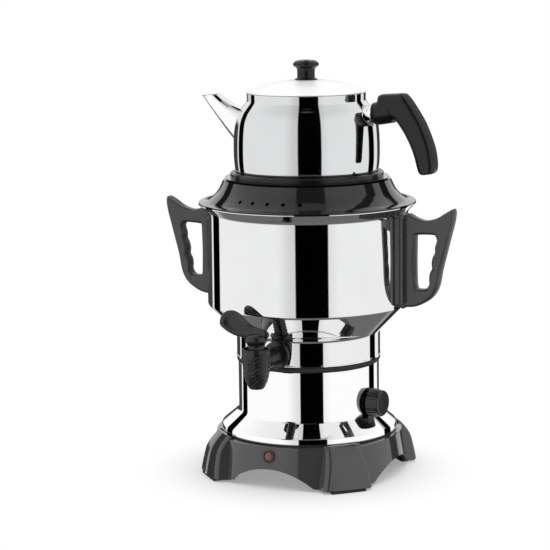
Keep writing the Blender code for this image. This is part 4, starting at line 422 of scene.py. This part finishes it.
def make_base():
    """Base housing: the skirt with its deck, and the four feet standing out of it."""
    feet = [make_foot(a) for a in (45.0, 135.0, 225.0, 315.0)]
    piece("base_look", [make_skirt(), *feet], BASE_GLOSS, "stand", ["base_housing"],
          30.0)


def skirt_place(height, azimuth_deg):
    """Matrix that sets a turned piece on the skirt, its axis square to the sloping wall."""
    r = (92.6 + 7.2 * (44.2 - height) / 41.7 + 0.6) * MM
    a = math.radians(azimuth_deg)
    slope = math.atan2(7.2, 41.7)
    return (Matrix.Translation((r * math.sin(a), -r * math.cos(a), height * MM))
            @ Matrix.Rotation(a, 4, "Z") @ Matrix.Rotation(math.pi / 2 - slope, 4, "X"))


def make_lamp():
    """Pilot lamp: a turned bezel with a rounded rim and a domed lens, ribbed inside by rings."""
    at = skirt_place(33.0, 0.0)
    bezel = fillet([(4.8, -9, 0), (4.8, 1.1, 0.2), (5.3, 1.8, 0.3), (6.0, 1.5, 0.5), (6.2, 0.2, 0.2),
                    (5.2, 0, 0),
                    (5.2, -9, 0)])
    piece("pilot_bezel_look", [lean(turn_profile(bezel, SMALL_ROUND), at)], SATIN,
          "stand", ["pilot_bezel"])
    t = np.linspace(0.0, 1.0, 26)
    dome = np.stack([4.5 * t, 2.1 - 1.3 * t ** 2.2 + 0.06 * np.cos(t * 5 * math.pi)], axis=1) * MM
    side = points([(4.5, -4.5), (0.0, -4.5)])
    piece("pilot_lens_look", [lean(turn_profile(np.concatenate([dome, side]), SMALL_ROUND, False), at)],
          LENS, "stand", ["pilot_lens"])


# Steel shells

def wall_of(line, thickness):
    """Closed section of a sheet: the outer line, and the same line moved inwards by the thickness."""
    d = np.gradient(line, axis=0)
    n = np.stack([d[:, 1], -d[:, 0]], axis=1)
    n /= np.linalg.norm(n, axis=1, keepdims=True) + 1e-12
    inner = line + n * thickness
    inner[:, 0] = np.maximum(inner[:, 0], 0.0)
    return np.concatenate([line, inner[::-1]])


def make_shells():
    """Stand sleeve, tank, teapot and lid as sheets turned about the axis."""
    sleeve = fillet([(62, 112, 0), (70.5, 112, 1.0), (70.5, 63, 6), (88, 48.5, 3.2), (88, 43.5, 0)], 12)
    piece("stand_sleeve_look", [turn_profile(wall_of(sleeve, 0.8 * MM))], MIRROR, "stand",
          ["stand_sleeve"])
    tank = fillet([(107.8, 270.0, 0), (100, 262.4, 7), (100, 170.4, 4.0), (71.8, 142.4, 4.5),
                   (71.8, 116.8, 2.4),
                   (0, 116.8, 0)], 12)
    tank = np.concatenate([points([(107.0, 270.5), (107.6, 270.5)]), tank])
    piece("tank_look", [turn_profile(wall_of(tank, 0.9 * MM)), *neck_seam()], TANK_STEEL,
          "stand", ["water_tank"])
    shoulder = flow(points([(58.6, 374.4), (58.5, 373.2), (58.75, 371.2), (60.3, 368.9), (62.9, 365.6),
                            (66.1, 361.4),
                            (68.8, 355.9), (70.5, 350.2), (71.4, 343.4), (72.0, 334.5), (72.2, 325.0),
                            (72.1, 316.0), (71.6, 309.0), (70.8, 303.8), (69.6, 300.6), (68.0, 298.9),
                            (65.6, 298.3)]), 90)
    pot = np.concatenate([points([(58.3, 379.0), (58.6, 378.7)]), shoulder, points([(0.0, 298.3)])])
    piece("teapot_look", [turn_profile(wall_of(pot, 0.8 * MM))], POT_STEEL, "teapot",
          ["teapot_body"])
    dome = flow(points([(1.9, 391.3), (13.0, 391.2), (26.0, 390.3), (43.0, 387.0), (54.0, 383.2),
                        (58.4, 381.1)]), 40)
    rim = fillet([(59.3, 380.5, 0.3), (59.4, 379.4, 0.3), (58.2, 379.3, 0), (57.2, 379.3, 0),
                  (57.2, 373.4, 0),
                  (56.4, 373.4, 0), (56.4, 379.6, 0)], 5)
    under = dome[::-1] - np.array((0.0, 0.8 * MM))
    piece("lid_look", [turn_profile(np.concatenate([dome, rim, under[1:]]))], LID_PAINTED_REFLECTION,
          "lid", ["teapot_lid"])


def neck_seam():
    """Thin bright bead at the foot of the tank's neck."""
    bead = fillet([(71.7, 117.2, 0), (72.3, 117.4, 0.3), (72.35, 118.6, 0.4), (71.7, 119.0, 0)], 5)
    return [turn_profile(bead)]


# Black mouldings on top

def make_hood():
    """Hood: bell, flange and skirt turned about the axis, with five vents cut through the bell."""
    bell = flow(points([(83.0, 294.2), (84.6, 290.6), (86.3, 287.0), (88.6, 282.9), (92.0, 278.9),
                        (95.6, 275.7),
                        (98.6, 273.6), (101.5, 272.7)]), 50)
    top = fillet([(60, 293.3, 0), (60, 295.5, 0.4), (80.9, 295.5, 0.2), (81.2, 296.3, 0.3),
                  (82.6, 296.3, 0.7)], 5)
    flange = fillet([(107.4, 272.3, 0.4), (107.9, 271.0, 0.3), (98.6, 270.9, 0), (98.6, 261.9, 0.4),
                     (96.8, 261.9, 0.4), (96.8, 270.9, 0)], 5)
    inside = flow(points([(93.6, 273.6), (88.0, 278.4), (84.6, 283.6), (82.3, 288.4), (80.2, 293.3)]), 24)
    hood = piece("hood_look", [turn_profile(np.concatenate([top, bell, flange, inside]), 180)], GLOSS,
                 "hood", ["hood"])
    drills = bpy.data.meshes.new("vent_drills")
    work = bmesh.new()
    for k in range(5):
        a = math.radians(10.0 * (k - 2))
        r, z, tilt = 92.2 * MM, 279.0 * MM, math.radians(38.0)
        spin = Matrix.Rotation(a, 4, "Z") @ Matrix.Translation((0.0, -r, z))
        bmesh.ops.create_cone(work, cap_ends=True, segments=24, radius1=2.1 * MM, radius2=2.1 * MM,
                              depth=16 * MM, matrix=Matrix.Translation((0, AXIS_Y, 0)) @ spin
                              @ Matrix.Rotation(math.pi / 2 - tilt, 4, "X"))
    work.to_mesh(drills)
    work.free()
    cutter = bpy.data.objects.new("vent_drills", drills)
    bpy.context.scene.collection.objects.link(cutter)
    cut = hood.modifiers.new("vents", "BOOLEAN")
    cut.operation = "DIFFERENCE"
    cut.solver = "EXACT"
    cut.object = cutter
    bpy.context.view_layer.update()
    done = bpy.data.meshes.new_from_object(hood.evaluated_get(bpy.context.evaluated_depsgraph_get()))
    hood.modifiers.clear()
    hood.data = done
    hood.data.shade_smooth()
    hood.data.set_sharp_from_angle(angle=math.radians(38.0))
    bpy.data.objects.remove(cutter, do_unlink=True)


def make_pot_ring():
    """Ring under the teapot: a rounded section with an inner ledge."""
    ring = fillet([(64, 298.0, 0), (70.8, 298.0, 0), (70.8, 301.8, 0.4), (74.4, 301.8, 1.2), (76, 300.4, 0.9),
                   (76, 295.8, 0.3), (64, 295.8, 0)])
    piece("pot_ring_look", [turn_profile(ring)], DEEP, "hood", ["pot_ring"])


def make_lid_knob():
    """Lid knob: a mushroom cap on a waist with a spread foot."""
    line = flow(points([(0.0, 411.1), (5.0, 410.9), (9.6, 410.0), (12.2, 408.2), (12.8, 406.6), (12.1, 405.0),
                        (10.0, 403.4), (8.95, 401.8), (8.7, 399.4), (8.7, 396.0), (8.8, 394.0), (9.5, 392.9),
                        (11.1, 392.4), (11.3, 391.65)]), 80)
    foot = points([(1.9, 391.6), (1.9, 400.5), (0.0, 400.5)])
    piece("lid_knob_look", [turn_profile(np.concatenate([line, foot]), SMALL_ROUND, False)], DEEP,
          "lid", ["lid_knob"])


# Teapot's spout and handle

def make_spout():
    """Spout: circles along a bent line, larger at the root, drawn down to the level of the mouth's cut.

    The outer skin runs up the line and the inner skin runs back, and no point stands above the mouth's plane.
    """
    line = flow(points([(-60.0, 340.0), (-68.0, 344.2), (-77.0, 350.0), (-86.0, 356.6), (-94.6, 364.0),
                        (-102.6, 372.0), (-110.0, 381.0)]), 60)
    share = np.linspace(0.0, 1.0, 60)
    radius = np.interp(share, [0, 0.17, 0.34, 0.5, 0.67, 0.84, 1.0],
                       np.array([18.6, 17.2, 14.2, 11.4, 9.2, 7.9, 7.2]) * MM)
    along = np.gradient(line, axis=0)
    along /= np.linalg.norm(along, axis=1, keepdims=True)
    side = np.stack([along[:, 1], -along[:, 0]], axis=1)
    angle = np.linspace(0.0, 2 * math.pi, 72, endpoint=False)[None]

    def sleeve(r):
        x = line[:, :1] + side[:, :1] * r[:, None] * np.cos(angle)
        z = line[:, 1:] + side[:, 1:] * r[:, None] * np.cos(angle)
        y = r[:, None] * np.sin(angle) + 0 * x
        cut = 374.2 * MM + (x + 112.0 * MM) * math.tan(math.radians(5.5))
        return np.stack([x, y, np.minimum(z, cut)], axis=-1)

    outer, inner = sleeve(radius), sleeve(radius - 1.0 * MM)
    wall = skin(np.concatenate([outer, inner[::-1]]), wrap_rows=True)
    piece("spout_look", [wall], MIRROR,
          "teapot", ["teapot_spout"], 50.0)


def make_ferrule():
    """Ferrule: a short tube turned about the level line that the handle follows, with a rolled end."""
    line = fillet([(0.0, 58, 0), (9.9, 58, 0), (9.6, 67, 3), (10.1, 72.2, 0.5), (0.0, 72.2, 0)])
    tube = turn_profile(line, SMALL_ROUND, False)
    at = Matrix.Translation((0.0, 0.0, 358.0 * MM)) @ Matrix.Rotation(math.pi / 2, 4, "Y")
    piece("ferrule_look", [lean(tube, at)], MIRROR, "teapot", ["handle_ferrule"])


GRIP_INNER = ((79.6, 351.4), (82.6, 351.2), (87.6, 353.0), (92.6, 354.6), (96.4, 353.2), (100.2, 349.0),
              (104.6, 342.6), (109.0, 335.0), (113.4, 325.6), (116.4, 317.0), (118.4, 309.4), (120.6, 304.2),
              (124.4, 301.9))
GRIP_OUTER = ((79.0, 377.9), (82.0, 378.9), (88.0, 379.3), (96.0, 379.8), (104.6, 379.9), (109.4, 375.8),
              (116.6, 365.8), (124.4, 353.2), (130.8, 338.6), (134.6, 327.2), (136.5, 315.4), (136.2, 307.4),
              (133.6, 303.2))


def make_grip():
    """Teapot handle: rounded sections between its inner and its outer line, three flutes along the outside.

    A section is a superellipse of power 3.4, reaching from the inner line to the outer one and 10.5 mm to
    each side; it shrinks towards both ends, and each flute is a cosine dip across its outer side.
    """
    count = 150
    inner = flow(points(GRIP_INNER), count)
    outer = flow(points(GRIP_OUTER), count)
    share = np.linspace(0.0, 1.0, count)[:, None]
    swell = np.sqrt(np.clip(1.0 - np.clip((share - 0.95) / 0.05, 0, 1) ** 2, 0.0, 1.0)) * 0.72 + 0.28
    swell = swell * (0.90 + 0.10 * np.sin(np.clip(share / 0.02, 0, 1) * math.pi / 2))
    angle = np.linspace(0.0, 2 * math.pi, 120, endpoint=False)[None]
    power = 2.0 / 3.4
    across = np.sign(np.cos(angle)) * np.abs(np.cos(angle)) ** power
    wide = np.sign(np.sin(angle)) * np.abs(np.sin(angle)) ** power
    y = 10.5 * MM * swell * wide
    live = np.clip((share - 0.30) / 0.08, 0, 1) * np.clip((0.93 - share) / 0.06, 0, 1)
    dip = 0.95 * MM * live * (0.5 + 0.5 * np.cos(y / (5.4 * MM) * 2 * math.pi)) * (across > 0.55)
    dip = dip * np.clip((8.3 * MM - np.abs(y)) / (0.6 * MM), 0, 1)
    middle, reach = (inner + outer) / 2, (outer - inner) / 2
    length = np.linalg.norm(reach, axis=1, keepdims=True)
    out = across * (0.75 + 0.25 * swell) - dip / length
    x = middle[:, :1] + reach[:, :1] * out
    z = middle[:, 1:] + reach[:, 1:] * out
    grid = np.stack([x, y + 0 * x, z], axis=-1)
    verts, faces = skin(grid)
    n = grid.shape[1]
    last = (count - 1) * n
    faces += [list(range(n)), list(range(last + n - 1, last - 1, -1))]
    neck = fillet([(0.0, 0, 0), (10.7, 0, 0.8), (11.1, 2.6, 0.3), (10.8, 3.1, 0.2), (11.3, 3.6, 0.3),
                   (11.5, 19, 0), (0.0, 19, 0)], 5)
    at = Matrix.Translation((72.7 * MM, 0.0, 359.4 * MM)) @ Matrix.Rotation(math.radians(80.0), 4, "Y")
    piece("grip_look", [(verts, faces), lean(turn_profile(neck, SMALL_ROUND, False), at)], DEEP,
          "teapot", ["teapot_handle"])


# Tank's side handles

HANDLE_OUT = ((100.9, 172.1), (108.0, 172.0), (115.4, 172.8), (123.6, 176.0), (133.2, 182.8), (139.5, 193.5),
              (143.2, 211.0), (147.6, 228.0), (151.8, 244.5), (155.0, 257.0), (156.2, 265.8), (155.6, 269.6),
              (154.0, 270.0), (147.5, 266.3), (138.0, 260.6), (127.2, 257.8), (118.0, 259.6), (111.0, 263.2),
              (108.4, 263.6), (104.0, 262.0), (101.2, 258.0), (100.9, 240.0), (100.9, 200.0))
HANDLE_IN = ((116.2, 241.4), (116.0, 230.0), (116.0, 200.0), (116.6, 192.6), (118.6, 190.6), (126.4, 190.8),
             (129.6, 193.4), (131.3, 197.4), (130.9, 202.0), (131.5, 207.0), (133.6, 211.6), (133.2, 217.0),
             (134.4, 222.6), (136.6, 226.8), (136.9, 232.6), (138.7, 238.0), (137.6, 242.6), (134.2, 244.3),
             (118.4, 243.6))


def make_tank_handle(name, azimuth_deg, node):
    """Side handle: a ring-shaped plate whose hole and outline are matched by angle, on a curved foot."""
    angles = np.linspace(0.0, 2 * math.pi, 420, endpoint=False)
    centre = np.array((125.0, 218.0)) * MM
    outer = by_angle(dense(flow(points(HANDLE_OUT), 300, closed=True)), centre, angles)
    inner = by_angle(dense(flow(points(HANDLE_IN), 300, closed=True)), centre, angles)
    loop = ring_slab(outer, inner, 6.5 * MM, 3.4 * MM)
    edge = even(fillet([(-15, 173.7, 3), (15, 173.7, 3), (15, 262.4, 3), (-15, 262.4, 3)], 8), 160)
    depth = np.array([0.0, 3.6, 5.2, 6.2, 6.8, 7.0])
    pull = np.array([0.0, 0.0, 0.5, 1.4, 2.6, 4.0]) * MM
    rows = [inset(edge, p) for p in pull]
    foot_radius = 100.4 * MM
    grid = np.stack([np.stack([np.sqrt(foot_radius ** 2 - row[:, 0] ** 2) + d * MM, row[:, 0], row[:, 1]],
                              axis=1) for row, d in zip(rows, depth)])
    verts, faces = skin(grid)
    n = grid.shape[1]
    last = (grid.shape[0] - 1) * n
    faces += [list(range(n)), list(range(last + n - 1, last - 1, -1))]
    turn = Matrix.Rotation(math.radians(azimuth_deg - 90.0), 4, "Z")
    piece(name, [lean(loop, turn), lean((verts, faces), turn)], SATIN, "stand", [node])


# Tap

def make_tap_barrel():
    """Tap barrel: a turned form whose lower part carries ribs, each rising from the front to the sides.

    The ribs' phase is the height less the distance from the middle times the slope's tangent; a smooth
    square wave of that phase sinks the grooves between them.
    """
    line = flow(points([(13.2, 144.4), (13.6, 143.6), (13.55, 141.0), (13.5, 136.0), (13.3, 130.6),
                        (13.0, 126.0), (12.6, 121.5), (11.9, 117.4), (10.7, 113.2), (9.2, 109.6),
                        (7.4, 106.6), (6.4, 105.7)]), 150)
    angle = np.linspace(0.0, 2 * math.pi, 160, endpoint=False)[None]
    r, z = line[:, :1], line[:, 1:]
    across = r * np.sin(angle)
    phase = (134.6 * MM - (z - np.abs(across) * math.tan(math.radians(34.0)))) / (3.8 * MM)
    wave = np.clip(0.5 + 1.6 * np.cos(2 * math.pi * phase), 0.0, 1.0)
    live = np.clip(phase * 4, 0, 1) * np.clip((z - 107.5 * MM) / (2 * MM), 0, 1) * (np.cos(angle) > -0.55)
    depth = r - 0.75 * MM * wave * live
    outer = np.stack([depth * np.sin(angle), -depth * np.cos(angle), z + 0 * angle], axis=-1)
    hole = fillet([(4.5, 105.6, 0.4), (4.5, 117.7, 0), (9.3, 117.7, 0), (9.3, 140.6, 0), (11.7, 140.6, 0),
                   (11.8, 144.3, 0.4), (13.0, 144.45, 0)], 5)
    inner = np.stack([hole[:, :1] * np.sin(angle), -hole[:, :1] * np.cos(angle), hole[:, 1:] + 0 * angle],
                     axis=-1)
    return shift(skin(np.concatenate([outer, inner]), wrap_rows=True), (0.0, TAP_Y, 0.0))


def make_tap_pipe():
    """Ribbed pipe and flange: radius 8.7 mm less a rounded groove every 2.3 mm, turned about a level line."""
    s = np.linspace(0.0, 1.0, 260)
    along = 107.5 - 30.0 * s
    ribs = 8.7 - 0.75 * np.clip(np.cos((along - 77.5) / 3.0 * 2 * math.pi) * 1.5, 0.0, 1.0)
    pipe = np.stack([ribs, along], axis=1) * MM
    rest = fillet([(8.7, 77.4, 0), (12.9, 77.4, 0.9), (13.6, 75.9, 0.8), (13.6, 74.4, 0.3), (7.0, 74.4, 0),
                   (7.0, 58.9, 0.4), (4.4, 58.9, 0), (4.4, 112.0, 0), (8.7, 112.0, 0)], 5)
    tube = turn_profile(np.concatenate([pipe, rest]), 96)
    at = Matrix.Translation((0.0, 0.0, 129.5 * MM)) @ Matrix.Rotation(math.pi / 2, 4, "X")
    return lean(tube, at)


KEY_EDGE = ((-41.3, 13.7), (-40.9, 19.3), (-36.8, 24.7), (-30.4, 26.2), (-24.9, 25.1), (-18.9, 21.8),
            (-10.1, 15.3), (-0.7, 10.6), (8.6, 8.7), (13.0, 4.5), (8.6, 0.2), (-5.7, 0.1), (-16.7, 0.6),
            (-23.8, 1.9), (-30.4, 4.5), (-36.5, 7.7), (-40.2, 10.6))


def make_tap_key():
    """Leaf key: rings drawn in from its outline to its middle, with a rim, a rounded edge and a dished face.

    Level over the middle plane: half the thickness, rounded off at the edge by a quarter circle, less a
    parabola's depth inside the rim.
    """
    edge = even(flow(points(KEY_EDGE), 260, closed=True), 180)
    centre = np.array((-21.0, 12.6)) * MM
    share = np.concatenate([np.linspace(0.0, 0.78, 22), np.linspace(0.78, 1.0, 14)[1:]])
    ring = centre + (edge[None] - centre) * share[:, None, None]
    half = 3.2 * MM
    edge_fall = np.sqrt(np.clip(1.0 - np.clip((share - 0.86) / 0.14, 0.0, 1.0) ** 2, 0.0, 1.0))
    dish = np.clip(1.0 - (share / 0.76) ** 2, 0.0, 1.0)
    level = half * edge_fall - 1.7 * MM * np.minimum(dish * 1.7, 1.0)
    level = np.maximum(level, 0.0)
    front = np.stack([ring[..., 0], -level[:, None] + 0 * ring[..., 0], ring[..., 1]], axis=-1)
    back = np.stack([ring[..., 0], level[:, None] + 0 * ring[..., 0], ring[..., 1]], axis=-1)
    leaf = skin(np.concatenate([front, back[::-1][1:]]))
    leaf = lean(leaf, Matrix.Translation((0, 0, 154.0 * MM)) @ Matrix.Rotation(math.radians(-28.0), 4, "X"))
    hub = flow(points([(5.0, 158.4), (7.4, 157.6), (9.6, 156.0), (10.9, 153.9), (10.7, 151.9), (9.4, 149.9),
                       (8.5, 148.2), (8.4, 146.75)]), 40)
    hub = np.concatenate([points([(0.0, 158.5)]), hub, points([(0.0, 146.75)])])
    key = [shift(s, (0.0, TAP_Y, 0.0)) for s in (leaf, turn_profile(hub, SMALL_ROUND, False))]
    piece("tap_key_look", key, TAP_BLACK, "tap_key", ["tap_key"], 45.0)


KNOB_AZIMUTH = 83.0           # degrees round from the tap
KNOB_HEIGHT = 75.0 * MM
SLEEVE_R = 70.5 * MM


def make_knob():
    """Thermostat knob: a turned cap with a soft edge, its side lowered by shallow cosine flutes."""
    line = flow(points([(0.0, 15.4), (6.0, 15.35), (11.0, 15.3), (12.4, 14.8), (12.95, 13.7), (13.3, 11.0),
                        (13.8, 7.0), (14.3, 3.4), (14.2, 2.85), (13.6, 2.8), (9.0, 2.8), (9.0, 6.8),
                        (3.3, 6.8),
                        (3.3, 11.4), (0.0, 11.4)]), 150)
    angle = np.linspace(0.0, 2 * math.pi, 180, endpoint=False)[None]
    r, z = line[:, :1], line[:, 1:]
    grip = np.clip((r - 12.9 * MM) / (0.4 * MM), 0, 1)
    r = r - 0.28 * MM * grip * (0.5 + 0.5 * np.cos(30 * angle))
    grid = np.stack([r * np.sin(angle), -r * np.cos(angle), z + 0 * angle], axis=-1)
    a = math.radians(KNOB_AZIMUTH)
    at = (Matrix.Translation((SLEEVE_R * math.sin(a), -SLEEVE_R * math.cos(a), KNOB_HEIGHT))
          @ Matrix.Rotation(a, 4, "Z") @ Matrix.Rotation(math.pi / 2, 4, "X"))
    piece("knob_look", [lean(skin(grid), at)], TAP_BLACK, "thermostat_knob",
          ["thermostat_knob"])


make_base()
make_lamp()
make_shells()
make_hood()
make_pot_ring()
make_lid_knob()
make_spout()
make_ferrule()
make_grip()
make_tank_handle("right_handle_look", 90.0, "tank_handle_right")
make_tank_handle("left_handle_look", -90.0, "tank_handle_left")
piece("tap_look", [make_tap_barrel(), make_tap_pipe()], TAP_BLACK, "stand",
      ["tap_body"])
make_tap_key()
make_knob()


# Floor, light and camera

def make_floor():
    """Pale floor: a wide disc of rings whose finish fades to the backdrop's white away from the object; even
    beside the object about a quarter of it is painted white glow, which lightens its shadow.
    """
    rings = np.concatenate([[0.0], np.geomspace(0.15, 14.0, 24)])
    angle = np.linspace(0.0, 2 * math.pi, 64, endpoint=False)[None]
    grid = np.stack([rings[:, None] * np.cos(angle), rings[:, None] * np.sin(angle),
                     0 * angle + 0 * rings[:, None]], axis=-1)
    verts, faces = skin(grid)
    mesh = bpy.data.meshes.new("floor")
    mesh.from_pydata(verts.tolist(), [], faces)
    floor = bpy.data.objects.new("floor", mesh)
    bpy.context.scene.collection.objects.link(floor)
    material = bpy.data.materials.new("pale_floor")
    material.use_nodes = True
    mix = Finish(material.node_tree)
    shader = material.node_tree.nodes["Principled BSDF"]
    shader.inputs["Base Color"].default_value = (0.90, 0.90, 0.90, 1.0)
    shader.inputs["Roughness"].default_value = 0.6
    shader.inputs["Specular IOR Level"].default_value = 0.2
    where = mix.node("ShaderNodeTexCoord", out="Object")
    far = mix.node("ShaderNodeVectorMath", {"operation": "LENGTH"}, [where], out="Value")
    # painted light: beside the object the floor still glows 0.26 white to camera rays, which lightens its
    # shadow
    fade = mix.node("ShaderNodeMapRange", {"interpolation_type": "SMOOTHSTEP"},
                    {"Value": far, "From Min": 0.085, "From Max": 0.175, "To Min": 0.26, "To Max": 1.0})
    seen = mix.node("ShaderNodeLightPath", out="Is Camera Ray")
    glow = mix.node("ShaderNodeEmission", {}, {"Color": (1, 1, 1, 1), "Strength": 1.0}, out="Emission")
    blend = mix.node("ShaderNodeMixShader", {}, {0: fade * seen}, out=0)
    tree = material.node_tree
    tree.links.new(shader.outputs[0], blend.socket.node.inputs[1])
    tree.links.new(glow.socket, blend.socket.node.inputs[2])
    tree.links.new(blend.socket, tree.nodes["Material Output"].inputs["Surface"])
    mesh.materials.append(material)
    floor.visible_glossy = False


CAMERA_AZIMUTH = 24.5
FLAGS = ((-135.0, -119.0, 0.62), (-14.0, 23.0, 2.0), (114.0, 131.5, 0.5))


def make_world():
    """Studio round the object: an even pale light, with dark flags that only glossy rays meet.

    Each flag is a band of azimuth with soft edges and a top, except the middle one, which has no top. The
    azimuth is twice the angle whose tangent is right over ahead plus one, so that a band stays straight up
    a curved wall. The far side behind the object is dim below eye level; the light falls off near the
    middle flag and overhead; the ceiling and the ground have lights of their own.
    """
    world = bpy.data.worlds.new("studio")
    bpy.context.scene.world = world
    world.use_nodes = True
    tree = world.node_tree
    mix = Finish(tree)
    way = mix.node("ShaderNodeTexCoord", out="Generated")
    parts = mix.node("ShaderNodeSeparateXYZ", {}, [way])
    split = parts.socket.node
    x, y, z = (Wire(mix, split.outputs[k]) for k in range(3))
    turn = math.radians(CAMERA_AZIMUTH)
    ahead = x * math.sin(turn) - y * math.cos(turn)
    right = x * math.cos(turn) + y * math.sin(turn)
    azimuth = mix.node("ShaderNodeMath", {"operation": "ARCTAN2"}, [right, ahead + 1.0]) * (360.0 / math.pi)

    def rise(value, low, high, start=0.0, end=1.0):
        return mix.node("ShaderNodeMapRange", {"interpolation_type": "SMOOTHSTEP"},
                        {"Value": value, "From Min": low, "From Max": high, "To Min": start, "To Max": end})

    def away(middle):
        return mix.node("ShaderNodeMath", {"operation": "ABSOLUTE"}, [azimuth - middle])

    walls = None
    for low, high, top in FLAGS:
        half = (high - low) / 2
        clear = rise(away((low + high) / 2), half - 0.8, half + 0.8, 0.0005)
        if top < 1.0:
            over = rise(z, top - 0.04, top + 0.04)
            clear = clear + over - clear * over
        walls = clear if walls is None else walls * clear
    below_eye = 1.0 - rise(z, 0.0, 0.10)
    far_side = rise(away(3.0), 141.5, 144.0) * below_eye
    walls = walls * (1.0 - far_side * 0.945)
    shade_left = (1.0 - rise(away(-14.0), 2.0, 24.0)) * 0.24
    shade_right = (1.0 - rise(away(23.0), 1.0, 14.0)) * 0.10
    walls = walls * (1.0 - shade_left) * (1.0 - shade_right)
    walls = walls * (1.0 - rise(z, 0.55, 0.95) * 0.16)
    ceiling = rise(z, 0.951, 0.982)
    overhead = 0.66 - (1.0 - rise(away(4.5), 14.0, 22.0)) * 0.28
    ground = 1.0 - rise(z, -0.62, -0.40)
    studio = walls * (1.0 - ceiling) + ceiling * overhead
    studio = studio * (1.0 - ground) + ground * 0.16
    glossy = mix.node("ShaderNodeLightPath", out="Is Glossy Ray")
    camera = mix.node("ShaderNodeLightPath", out="Is Camera Ray")
    even_light = 0.80         # what matt surfaces get from every side
    strength = glossy * studio + (1.0 - glossy) * (camera * 1.0 + (1.0 - camera) * even_light)
    background = tree.nodes["Background"]
    background.inputs["Color"].default_value = (1.0, 1.0, 1.0, 1.0)
    tree.links.new(strength.socket, background.inputs["Strength"])


def make_lamp_box(name, place, aim, size, power):
    """Soft area lamp at a place, aimed at a point."""
    light = bpy.data.lights.new(name, "AREA")
    light.shape = "RECTANGLE"
    light.size, light.size_y = size
    light.energy = power
    lamp = bpy.data.objects.new(name, light)
    lamp.location = place
    lamp.rotation_euler = (Vector(place) - Vector(aim)).to_track_quat("Z", "Y").to_euler()
    lamp.visible_glossy = False
    bpy.context.scene.collection.objects.link(lamp)


def make_camera():
    """Camera: 1.94 m from the samovar's axis, 0.52 m high, pitched 9.3 degrees down, rolled 0.54."""
    turn = math.radians(CAMERA_AZIMUTH)
    pitch, roll = math.radians(9.3185), math.radians(-0.5407)
    focal, beside = 1970.43, 32.9
    right = Vector((math.cos(turn), math.sin(turn), 0.0))
    level = Vector((-math.sin(turn), math.cos(turn), 0.0))
    forward = level * math.cos(pitch) - Vector((0, 0, 1)) * math.sin(pitch)
    up = level * math.sin(pitch) + Vector((0, 0, 1)) * math.cos(pitch)
    image_x = right * math.cos(roll) + up * math.sin(roll)
    image_y = up * math.cos(roll) - right * math.sin(roll)
    look = (forward * focal - image_x * beside).normalized()
    side = look.cross(image_y).normalized()
    top = side.cross(look)
    data = bpy.data.cameras.new("camera")
    data.lens = focal / 550.0 * 36.0
    data.sensor_width = 36.0
    data.clip_end = 60.0
    camera = bpy.data.objects.new("camera", data)
    spot = Vector((1942.34 * MM * math.sin(turn), AXIS_Y - 1942.34 * MM * math.cos(turn), 515.53 * MM))
    axes = Matrix((side, top, -look)).transposed().to_4x4()
    camera.matrix_world = Matrix.Translation(spot) @ axes
    bpy.context.scene.collection.objects.link(camera)
    bpy.context.scene.camera = camera


make_floor()
make_world()
make_lamp_box("soft_top", (0.5, -0.7, 1.9), (0.0, 0.0, 0.15), (1.6, 1.6), 16.0)
make_camera()
bpy.context.scene.view_settings.view_transform = "Standard"
